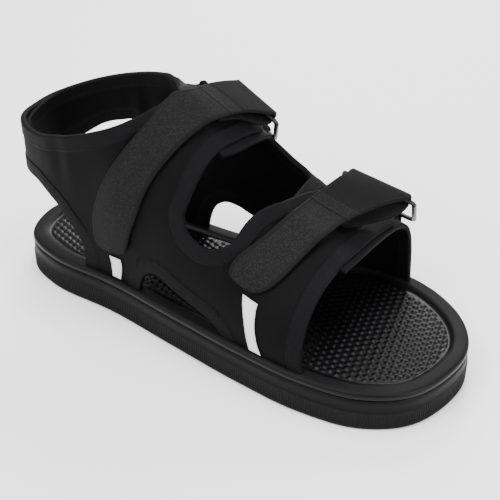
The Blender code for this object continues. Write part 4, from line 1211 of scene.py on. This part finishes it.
@dataclass
class Block:
    """Foam body built of plan outlines, closed below and above by strips across.

    Args:
        name: name of the piece.
        count: points round each outline, even.
        across: cells across the top.
        profile: inset and height of each outline, from the floor up.
    """

    name: str
    count: int
    across: int
    profile: Sequence[Tuple[Points, float]]

    def build(self, top: Callable[[Points], Points]) -> Object:
        """Body of the outlines, with the top's points moved by the function given.

        Args:
            top: function that moves the grid of the top.
        Returns:
            The object.
        """
        rings = np.stack([np.column_stack([outline(inset, self.count), np.full(self.count, high)])
                          for inset, high in self.profile])
        levels = len(rings)
        index = np.arange(levels * self.count).reshape(levels, self.count)
        ahead = np.roll(index, -1, axis=1)
        floor = self._cap(rings[0], 1)
        roof = top(self._cap(rings[-1], self.across))
        start = rings.size // 3
        low = self._numbers(floor.shape, 0, start)
        high = self._numbers(roof.shape, levels - 1, start + floor.size // 3)
        faces = [np.stack([index[:-1], ahead[:-1], ahead[1:], index[1:]], -1).reshape(-1, 4)]
        for number, turn in ((low, -1), (high, 1)):
            quads = np.stack([number[:-1, :-1], number[1:, :-1], number[1:, 1:],
                              number[:-1, 1:]], -1)
            faces.append(quads.reshape(-1, 4)[:, ::turn])
        points = [grid.reshape(-1, 3) for grid in (rings, floor, roof)]
        return make_mesh(self.name, np.concatenate(points), np.concatenate(faces), {})

    def _cap(self, ring: Points, cells: int) -> Points:
        """Grid across an outline, from each point to the one opposite, heel to toe.

        Args:
            ring: points of the outline.
            cells: cells across.
        Returns:
            Grid of points.
        """
        half = self.count // 2
        one = ring[:half + 1]
        other = np.concatenate([ring[:1], ring[:half - 1:-1]])
        share = np.linspace(0.0, 1.0, cells + 1)[None, :, None]
        return one[:, None] * (1 - share) + other[:, None] * share

    def _numbers(self, shape: Tuple[int, ...], level: int, start: int) -> Points:
        """Point numbers of a cap: its long sides use the wall's own points.

        Args:
            shape: shape of the cap's grid.
            level: which outline it closes.
            start: number of its first point.
        Returns:
            Grid of point numbers.
        """
        number = start + np.arange(shape[0] * shape[1]).reshape(shape[:2])
        half = self.count // 2
        base = level * self.count
        number[:, 0] = base + np.arange(half + 1)
        number[:, -1] = base + np.concatenate([[0], np.arange(self.count - 1, half - 1, -1)])
        number[0, :] = base
        number[-1, :] = base + half
        return number


class Pattern(Enum):
    """Kind of surface that a finish draws."""

    NEOPRENE = "neoprene"
    BRUSHED = "brushed"
    WEBBING = "webbing"
    RIBBED_FOAM = "ribbed foam"
    MOULDED_FOAM = "moulded foam"
    PLASTIC = "plastic"
    TAPE = "tape"


# Scale and detail of each grain
KNIT, KNIT_CLOUDS = (1500.0, 2.0), (38.0, 3.0)
LOOPS, SPECKS = (2300.0, 3.0), (1300.0, 2.0)
FUZZ, WEAR, GRAIN = (1700.0, 2.0), (300.0, 3.0), (420.0, 3.0)
FOAM_CLOUDS, SCUFFS = (24.0, 4.0), (70.0, 5.0)
PORES = {Pattern.RIBBED_FOAM: (2600.0, 2.0), Pattern.MOULDED_FOAM: (1900.0, 2.0)}
# Pitch of each weave
BINDING_WEAVE, STRAP_WEAVE, TAB_WEAVE, TAPE_WEAVE = 0.0011, 0.0009, 0.0013, 0.0007
# Pitch of the stitches and the share of it that is thread
BINDING_STITCH, STRAP_STITCH = (0.0031, 0.68), (0.0029, 0.66)
# Depth of each relief
RELIEF = {
    Pattern.NEOPRENE: 0.00012, Pattern.BRUSHED: 0.00016, Pattern.WEBBING: 0.00018,
    Pattern.RIBBED_FOAM: 0.00007, Pattern.MOULDED_FOAM: 0.00007, Pattern.PLASTIC: 0.00004,
    Pattern.TAPE: 0.00008,
}
SHEEN_ROUGHNESS = 0.45


@dataclass(frozen=True)
class Finish:
    """Colour, gloss and pattern of one material.

    Args:
        colour: base colour.
        roughness: roughness of the shader.
        pattern: kind of surface.
        sheen: strength of the soft sheen of cloth.
        shine: share of the usual mirror reflection.
    """

    colour: Colour
    roughness: float
    pattern: Pattern
    sheen: float = 0.0
    shine: float = 0.5

    def material(self, name: str) -> bpy.types.Material:
        """Procedural material that reads Object coordinates and the piece's attributes.

        Args:
            name: name of the material.
        Returns:
            The material, with its plain values on the shader's own sockets.
        """
        graph = Graph(name)
        for socket, value in (("Base Color", (*self.colour, 1.0)), ("Roughness", self.roughness),
                              ("Sheen Weight", self.sheen), ("Sheen Roughness", SHEEN_ROUGHNESS),
                              ("Specular IOR Level", self.shine)):
            graph.shader.inputs[socket].default_value = value
        drawers = {
            Pattern.NEOPRENE: self._neoprene, Pattern.BRUSHED: self._brushed,
            Pattern.WEBBING: self._webbing, Pattern.RIBBED_FOAM: self._foam,
            Pattern.MOULDED_FOAM: self._foam, Pattern.PLASTIC: self._plastic,
            Pattern.TAPE: self._tape,
        }
        graph.bump(drawers[self.pattern](graph), RELIEF[self.pattern])
        return graph.material

    def _neoprene(self, graph: "Graph") -> Socket:
        """Fine knit face, a woven binding along the edges and a row of stitches in it.

        Args:
            graph: the material's nodes.
        Returns:
            Height of the relief.
        """
        edge, place = graph.fact("edge_far"), graph.fact("edge_place")
        tape = graph.below(edge, BINDING_WIDTH, 0.0004)
        stitch = graph.times(graph.band(edge, STITCH_LINE, 0.00042),
                             graph.dashes(place, *BINDING_STITCH))
        face = graph.blend(graph.noise(*KNIT_CLOUDS), self._tone(0.82), self._tone(1.25))
        bound = graph.mix(tape, face, self._tone(1.75))
        graph.link(graph.mix(stitch, bound, self._tone(3.0)), "Base Color")
        woven = graph.times(tape, graph.weave(place, edge, BINDING_WEAVE))
        fine = graph.plus(graph.times(graph.noise(*KNIT), 0.6), woven)
        return graph.plus(fine, graph.times(stitch, 2.2))

    def _brushed(self, graph: "Graph") -> Socket:
        """Brushed loop face with pale specks, a plain edge, and smoother webbing past the seam.

        Args:
            graph: the material's nodes.
        Returns:
            Height of the relief.
        """
        edge, place, cross = graph.fact("edge_far"), graph.fact("edge_place"), graph.fact("cross")
        past, seam = graph.fact("past_seam"), graph.fact("seam_far")
        specks = graph.above(graph.noise(*SPECKS), 0.57, 0.08)
        face = graph.mix(graph.times(specks, 0.55), self._tone(0.9), self._tone(2.9))
        plain = graph.mix(past, face, self._tone(0.85))
        border = graph.mix(graph.below(edge, 0.0024, 0.0003), plain, self._tone(0.75))
        rows = graph.plus(*[graph.band(seam, line, 0.0004) for line in SEAM_STITCHES])
        sides = graph.times(graph.band(edge, 0.0019, 0.0003), graph.below(seam, 0.0080, 0.0002))
        stitch = graph.math("MAXIMUM", graph.times(rows, graph.dashes(cross, *STRAP_STITCH)),
                            graph.times(sides, graph.dashes(place, *STRAP_STITCH)))
        joint = graph.times(graph.band(seam, SEAM_JOINT, 0.0007), 0.85)
        joined = graph.mix(joint, border, self._tone(0.15))
        graph.link(graph.mix(stitch, joined, self._tone(2.2)), "Base Color")
        woven = graph.times(past, graph.weave(place, cross, STRAP_WEAVE))
        relief = graph.plus(woven, graph.times(graph.noise(*LOOPS), 1.1))
        return graph.plus(relief, graph.times(stitch, 1.8))

    def _webbing(self, graph: "Graph") -> Socket:
        """Narrow webbing: ribs across and a bound border.

        Args:
            graph: the material's nodes.
        Returns:
            Height of the relief.
        """
        border = graph.below(graph.fact("edge_far"), 0.0016, 0.0003)
        graph.link(graph.mix(border, self._tone(1.0), self._tone(1.5)), "Base Color")
        woven = graph.weave(graph.fact("edge_place"), graph.fact("cross"), TAB_WEAVE)
        return graph.plus(woven, graph.times(graph.noise(*FUZZ), 0.5))

    def _foam(self, graph: "Graph") -> Socket:
        """Closed foam: fine pores, faint clouds and slight scuffs; a moulded rim is duller.

        Args:
            graph: the material's nodes.
        Returns:
            Height of the relief.
        """
        clouds = graph.noise(*FOAM_CLOUDS)
        graph.link(graph.blend(clouds, self._tone(0.8), self._tone(1.3)), "Base Color")
        gloss = graph.span(graph.noise(*SCUFFS), self.roughness - 0.07, self.roughness + 0.10)
        if self.pattern is Pattern.MOULDED_FOAM:
            rim = graph.above(graph.height(), footbed_top() - 0.0007, 0.0004)
            gloss = graph.plus(gloss, graph.times(rim, 0.30))
        graph.link(gloss, "Roughness")
        return graph.noise(*PORES[self.pattern])

    def _plastic(self, graph: "Graph") -> Socket:
        """Moulded plastic with a faint grain.

        Args:
            graph: the material's nodes.
        Returns:
            Height of the relief.
        """
        grain = graph.noise(*GRAIN)
        graph.link(graph.span(grain, self.roughness - 0.05, self.roughness + 0.08), "Roughness")
        return grain

    def _tape(self, graph: "Graph") -> Socket:
        """White woven tape, a little worn at its borders.

        Args:
            graph: the material's nodes.
        Returns:
            Height of the relief.
        """
        border = graph.below(graph.fact("edge_far"), 0.0012, 0.0008)
        worn = graph.times(border, graph.noise(*WEAR))
        graph.link(graph.mix(worn, self._tone(1.0), self._tone(0.55)), "Base Color")
        return graph.weave(graph.fact("edge_place"), graph.fact("cross"), TAPE_WEAVE)

    def _tone(self, share: float) -> Tuple[float, float, float, float]:
        """The finish's colour, lighter or darker by a factor."""
        return (*[min(1.0, part * share) for part in self.colour], 1.0)


class Graph:
    """Nodes of one material, with short ways to add the usual ones."""

    def __init__(self, name: str) -> None:
        """Start a material with its shader.

        Args:
            name: name of the material.
        """
        self.material = bpy.data.materials.new(name)
        self.material.use_nodes = True
        self.nodes = self.material.node_tree.nodes
        self.links = self.material.node_tree.links
        self.shader = self.nodes["Principled BSDF"]
        self.place = self.nodes.new("ShaderNodeTexCoord").outputs["Object"]

    def add(self, kind: str, feeds: Dict[Union[int, str], Feed]) -> bpy.types.Node:
        """Node of a kind.

        Args:
            kind: Blender's name of the node.
            feeds: what each of its sockets gets, a value or another node's output.
        Returns:
            The node.
        """
        node = self.nodes.new(kind)
        for name, feed in feeds.items():
            self.feed(node.inputs[name], feed)
        return node

    def feed(self, target: Socket, feed: Feed) -> None:
        """Set a socket's value, or link it to the output given.

        Args:
            target: the socket.
            feed: a value or another node's output.
        """
        if isinstance(feed, Socket):
            self.links.new(feed, target)
        else:
            target.default_value = feed

    def link(self, source: Socket, name: str) -> None:
        """Feed one of the shader's sockets."""
        self.links.new(source, self.shader.inputs[name])

    def fact(self, name: str) -> Socket:
        """Number kept at the piece's points.

        Args:
            name: name of the attribute.
        Returns:
            The node's output.
        """
        node = self.nodes.new("ShaderNodeAttribute")
        node.attribute_name = name
        return node.outputs["Fac"]

    def math(self, kind: str, one: Socket, other: Feed = 0.0) -> Socket:
        """Result of an operation on one or two values.

        Args:
            kind: Blender's name of the operation.
            one: first value.
            other: second value.
        Returns:
            The node's output.
        """
        node = self.add("ShaderNodeMath", {0: one, 1: other})
        node.operation = kind
        return node.outputs[0]

    def times(self, one: Socket, other: Feed) -> Socket:
        """Product of two values."""
        return self.math("MULTIPLY", one, other)

    def plus(self, one: Socket, other: Feed) -> Socket:
        """Sum of two values."""
        return self.math("ADD", one, other)

    def span(self, value: Socket, low: float, high: float,
             start: float = 0.0, end: float = 1.0) -> Socket:
        """Value carried from one range, start to end, to another, low to high, and kept in it.

        Args:
            value: the value.
            low: result at the range's start.
            high: result at its end.
            start: start of the range.
            end: end of the range.
        Returns:
            The node's output.
        """
        feeds = {"Value": value, "From Min": start, "From Max": end, "To Min": low, "To Max": high}
        return self.add("ShaderNodeMapRange", feeds).outputs["Result"]

    def below(self, value: Socket, limit: float, soft: float) -> Socket:
        """1 where the value is under the limit, with a soft border."""
        return self.span(value, 1.0, 0.0, limit - soft, limit + soft)

    def above(self, value: Socket, limit: float, soft: float) -> Socket:
        """1 where the value is over the limit, with a soft border."""
        return self.span(value, 0.0, 1.0, limit - soft, limit + soft)

    def band(self, value: Socket, middle: float, half: float) -> Socket:
        """1 in a narrow band about a value."""
        away = self.math("ABSOLUTE", self.math("SUBTRACT", value, middle))
        return self.below(away, half * 0.75, half * 0.3)

    def dashes(self, place: Socket, pitch: float, share: float) -> Socket:
        """1 on the dashes of a row of stitches."""
        part = self.math("FRACT", self.math("DIVIDE", place, pitch))
        return self.below(part, share, 0.05)

    def noise(self, scale: float, detail: float) -> Socket:
        """Grain on Object coordinates."""
        feeds = {"Vector": self.place, "Scale": scale, "Detail": detail}
        return self.add("ShaderNodeTexNoise", feeds).outputs["Fac"]

    def height(self) -> Socket:
        """Height over the floor, from Object coordinates."""
        return self.add("ShaderNodeSeparateXYZ", {"Vector": self.place}).outputs["Z"]

    def weave(self, one: Socket, other: Socket, pitch: float) -> Socket:
        """Plain weave: the product of two waves, one along each direction.

        Args:
            one: place along one direction.
            other: place along the other.
            pitch: length of a wave.
        Returns:
            The node's output.
        """
        turn = 2 * math.pi / pitch
        waves = [self.math("SINE", self.times(place, turn)) for place in (one, other)]
        return self.times(self.times(*waves), 0.5)

    def mix(self, share: Socket, one: Feed, other: Feed) -> Socket:
        """Mix of two colours.

        Args:
            share: how much of the second colour.
            one: first colour.
            other: second colour.
        Returns:
            The node's output.
        """
        node = self.add("ShaderNodeMix", {"Factor": share})
        node.data_type = "RGBA"
        targets = [socket for socket in node.inputs if socket.type == "RGBA"]
        for target, colour in zip(targets, (one, other)):
            self.feed(target, colour)
        return [socket for socket in node.outputs if socket.type == "RGBA"][0]

    def blend(self, share: Socket, one: Feed, other: Feed) -> Socket:
        """Mix of two colours over the middle of a grain's range."""
        return self.mix(self.span(share, 0.0, 1.0, 0.3, 0.7), one, other)

    def bump(self, height: Socket, distance: float) -> None:
        """Relief of the shader."""
        feeds = {"Distance": distance, "Strength": 1.0, "Height": height}
        self.link(self.add("ShaderNodeBump", feeds).outputs["Normal"], "Normal")


FINISHES: Dict[str, Finish] = {
    "outsole_foam": Finish((0.0024, 0.0024, 0.0027), 0.46, Pattern.RIBBED_FOAM, 0.0, 0.09),
    "footbed_foam": Finish((0.0020, 0.0020, 0.0024), 0.32, Pattern.MOULDED_FOAM, 0.0, 0.12),
    "upper_neoprene": Finish((0.0020, 0.0020, 0.0023), 0.64, Pattern.NEOPRENE, 0.0, 0.06),
    "strap_webbing": Finish((0.0066, 0.0066, 0.0070), 0.80, Pattern.BRUSHED, 0.006, 0.10),
    "tab_webbing": Finish((0.0036, 0.0036, 0.0040), 0.75, Pattern.WEBBING, 0.002, 0.09),
    "ring_plastic": Finish((0.0060, 0.0060, 0.0064), 0.26, Pattern.PLASTIC, 0.0, 0.4),
    "stripe_tape": Finish((0.76, 0.76, 0.75), 0.72, Pattern.TAPE),
}


def outline_length() -> float:
    """Length round the sole."""
    ring = outline(0.0, 720)
    return float(np.linalg.norm(np.roll(ring, -1, axis=0) - ring, axis=1).sum())


def ribbed_outsole() -> Object:
    """Outsole whose lower band has fine upright ribs: a cosine round the outline, inward only.

    Returns:
        The object.
    """
    count = 2940
    ribs = int(round(outline_length() / RIB_PITCH))
    LOG.info("outsole: %d ribs", ribs)
    turn = 2 * np.pi * ribs * (np.arange(count) / count)
    wave = RIB_DEPTH * (0.5 - 0.5 * np.cos(turn))**0.8
    bevel, step = SOLE_BEVEL, RIB_BAND_STEP
    band, top = RIB_BAND_HEIGHT, OUTSOLE_HEIGHT
    profile = [
        (bevel, 0.0), (0.25 * bevel, 0.3 * bevel), (wave * 0.5, 0.8 * bevel),
        (wave, bevel + 0.0004), (wave, 0.5 * band), (wave, band - 0.0009),
        (wave * 0.4, band - 0.0003), (step * 0.6, band + 0.0003), (step, band + 0.0009),
        (step, 0.5 * (band + top)), (step, top - 1.6 * bevel),
        (step + 0.12 * bevel, top - 0.8 * bevel), (step + 0.45 * bevel, top - 0.25 * bevel),
        (step + bevel, top),
    ]
    return Block("outsole_foam_body", count, 1, profile).build(lambda grid: grid)


def hex_bumps(x: Points, y: Points) -> Points:
    """Rounded bumps of a slanted hex lattice: the sum of three plane waves 60 degrees apart.

    Args:
        x: places along the length.
        y: places to the side.
    Returns:
        Height of the bumps, 0 to 1.
    """
    turn = 4 * math.pi / (math.sqrt(3) * HEX_PITCH)
    slant = np.radians(HEX_LEAN + np.array([0.0, 60.0, 120.0]))
    waves = sum(np.cos(turn * (np.cos(a) * x + np.sin(a) * y)) for a in slant)
    return np.clip((waves + 1.5) / 4.5, 0.0, 1.0)**0.75


def footbed_bumps(grid: Points) -> Points:
    """Points of the dish lifted by the bumps, less near the rim.

    Args:
        grid: points across the footbed's top.
    Returns:
        The points, lifted.
    """
    edge = np.minimum(np.linalg.norm(grid - grid[:, :1], axis=-1),
                      np.linalg.norm(grid - grid[:, -1:], axis=-1))
    ends = np.minimum(np.abs(grid[..., 0] - grid[0, 0, 0]), np.abs(grid[..., 0] - grid[-1, 0, 0]))
    fade = ease(np.minimum(edge, ends) / BUMP_FADE)
    lifted = grid.copy()
    floor = footbed_top() - FOOTBED_DISH
    lifted[..., 2] = floor + HEX_HEIGHT * fade * hex_bumps(grid[..., 0], grid[..., 1])
    return lifted


def dished_footbed() -> Object:
    """Footbed with a smooth rounded rim and a shallow dish full of bumps.

    Returns:
        The object.
    """
    rise = FOOTBED_RISE
    top = footbed_top()
    base = top - rise
    profile = [(0.0016, base), (0.0008, base + 0.15 * rise), (RIM_INSET, base + 0.25 * rise),
               (RIM_INSET, base + 0.55 * rise)]
    profile += [(RIM_INSET + RIM_ROUND * (1 - math.cos(turn)),
                 base + 0.55 * rise + 0.45 * rise * math.sin(turn))
                for turn in np.linspace(0.0, np.pi / 2, 7)[1:]]
    profile += [(0.0050, top), (0.0072, base + 0.995 * rise)]
    profile += [(RIM_WIDTH - 0.0010 + DISH_RUN * slope, top - FOOTBED_DISH * ease(slope))
                for slope in np.linspace(0.0, 1.0, 8)[1:]]
    return Block("footbed_foam_body", 760, 130, profile).build(footbed_bumps)


class Shoe:
    """The whole shoe: its sole, its upper and its two fastenings."""

    SLOTS = {"strap": "strap_webbing", "ring": "ring_plastic", "ring_tab": "tab_webbing",
             "stripe": "stripe_tape"}

    def __init__(self) -> None:
        """Make the materials, one for each slot."""
        self.materials = {slot: finish.material(slot + "_look")
                          for slot, finish in FINISHES.items()}

    def build(self) -> None:
        """Make every piece, and hide the node that each stands for."""
        self._add(ribbed_outsole(), "outsole", "outsole_foam")
        self._add(dished_footbed(), "footbed", "footbed_foam")
        for quarter in (
                Quarter(Layer.OUTER, (OUTER_BAND, OUTER_HEEL, OUTER_REAR_LEG, OUTER_REAR_FLAP),
                        OUTER_MIDDLE, OUTER_FRONT, (44, 60, 24, 40, 36, 44)),
                Quarter(Layer.INNER, (INNER_HEEL, INNER_REAR_LEG, INNER_REAR_FLAP),
                        INNER_MIDDLE, INNER_FRONT, (70, 24, 40, 40, 44))):
            self._add(quarter.build(), "upper", "upper_neoprene")
        for fastening in (Fastening("front", FRONT_STRAP, FRONT_STRIPE, FRONT_TAB, FRONT_SEAM),
                          Fastening("rear", REAR_STRAP, REAR_STRIPE, REAR_TAB, REAR_SEAM)):
            for node, piece in fastening.build().items():
                self._add(piece, node, self.SLOTS[node.split("_", 1)[1]])

    def _add(self, piece: Object, node: str, slot: str) -> None:
        """Finish a piece and let it ride in the frame in place of its node.

        Args:
            piece: the object.
            node: the node it stands for.
            slot: which of the finishes' materials it gets.
        """
        piece.data.materials.append(self.materials[slot])
        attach(piece, "root")
        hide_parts(node)
        LOG.info("%s stands for %s, %d faces", piece.name, node, len(piece.data.polygons))


class Studio:
    """Pale floor, soft lights, an even bright world and the photograph's camera."""

    HALF_FLOOR = 6.0
    FLOOR_DROP = 0.0004
    # Name, place, size and power of each lamp
    LAMPS = (("key", (-0.35, -0.75, 1.05), 0.8, 16.0), ("side", (0.95, -0.10, 0.55), 0.5, 9.0),
             ("back", (-0.35, 0.95, 0.75), 0.6, 15.0), ("top", (0.05, 0.05, 1.30), 0.6, 14.0))

    def build(self) -> None:
        """Set the stage, the world, the lights and the camera."""
        self._floor()
        self._world()
        for name, place, size, power in self.LAMPS:
            self._lamp("studio_" + name, np.array(place), size, power)
        self._camera()

    def _floor(self) -> None:
        """Flat pale floor under the sole."""
        mesh = bpy.data.meshes.new("studio_floor")
        corners = [(-1, -1), (1, -1), (1, 1), (-1, 1)]
        half = self.HALF_FLOOR
        mesh.from_pydata([(x * half, y * half, -self.FLOOR_DROP) for x, y in corners], [],
                         [(0, 1, 2, 3)])
        floor = bpy.data.objects.new("studio_floor", mesh)
        bpy.context.scene.collection.objects.link(floor)
        paint = bpy.data.materials.new("studio_floor_paint")
        paint.use_nodes = True
        shader = paint.node_tree.nodes["Principled BSDF"]
        shader.inputs["Base Color"].default_value = (0.92, 0.92, 0.92, 1.0)
        shader.inputs["Roughness"].default_value = 0.85
        mesh.materials.append(paint)
        floor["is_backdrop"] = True

    @staticmethod
    def _world() -> None:
        """Even white surroundings."""
        world = bpy.data.worlds.new("studio_world")
        world.use_nodes = True
        back = world.node_tree.nodes["Background"]
        back.inputs["Color"].default_value = (1.0, 1.0, 1.0, 1.0)
        back.inputs["Strength"].default_value = 1.0
        bpy.context.scene.world = world

    @staticmethod
    def _lamp(name: str, place: Points, size: float, power: float) -> None:
        """Square soft light that looks at the shoe.

        Args:
            name: name of the lamp.
            place: where it stands.
            size: side of its square.
            power: its power in watts.
        """
        light = bpy.data.lights.new(name, "AREA")
        light.size = size
        light.energy = power
        lamp = bpy.data.objects.new(name, light)
        lamp.matrix_world = facing(place, unit(place - np.array(CAMERA_AIM)))
        bpy.context.scene.collection.objects.link(lamp)

    @staticmethod
    def _camera() -> None:
        """Camera at the photograph's place, looking at the shoe's middle."""
        turn = math.radians(CAMERA_AZIMUTH)
        rise = math.radians(CAMERA_ELEVATION)
        back = np.array([math.sin(turn) * math.cos(rise), -math.cos(turn) * math.cos(rise),
                         math.sin(rise)])
        data = bpy.data.cameras.new("studio_camera")
        data.lens = CAMERA_LENS
        data.sensor_width = CAMERA_SENSOR
        data.clip_start = 0.01
        data.clip_end = 50.0
        camera = bpy.data.objects.new("studio_camera", data)
        aim = np.array(CAMERA_AIM) + SHIFT
        camera.matrix_world = facing(aim + back * CAMERA_DISTANCE, back)
        bpy.context.scene.collection.objects.link(camera)
        bpy.context.scene.camera = camera


def facing(place: Points, back: Points) -> Matrix:
    """Placement at a point whose own Z points back, with its X level.

    Args:
        place: the point.
        back: unit vector that its own Z follows.
    Returns:
        The matrix.
    """
    right = unit(np.array([-back[1], back[0], 0.0]))
    matrix = np.eye(4)
    matrix[:3] = np.stack([right, np.cross(back, right), back, place], 1)
    return Matrix(matrix.tolist())


def plain(bounds: Tuple[Sequence[float], Sequence[float]]) -> List[List[float]]:
    """Corners as plain lists."""
    return [[float(part) for part in corner] for corner in bounds]


def main() -> None:
    """Build the shoe and the studio."""
    before = plain(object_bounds())
    Shoe().build()
    Studio().build()
    sizes = {"frame": before, "dressed": plain(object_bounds())}
    LOG.info("sizes %s", sizes)


if __name__ == "__main__":
    main()
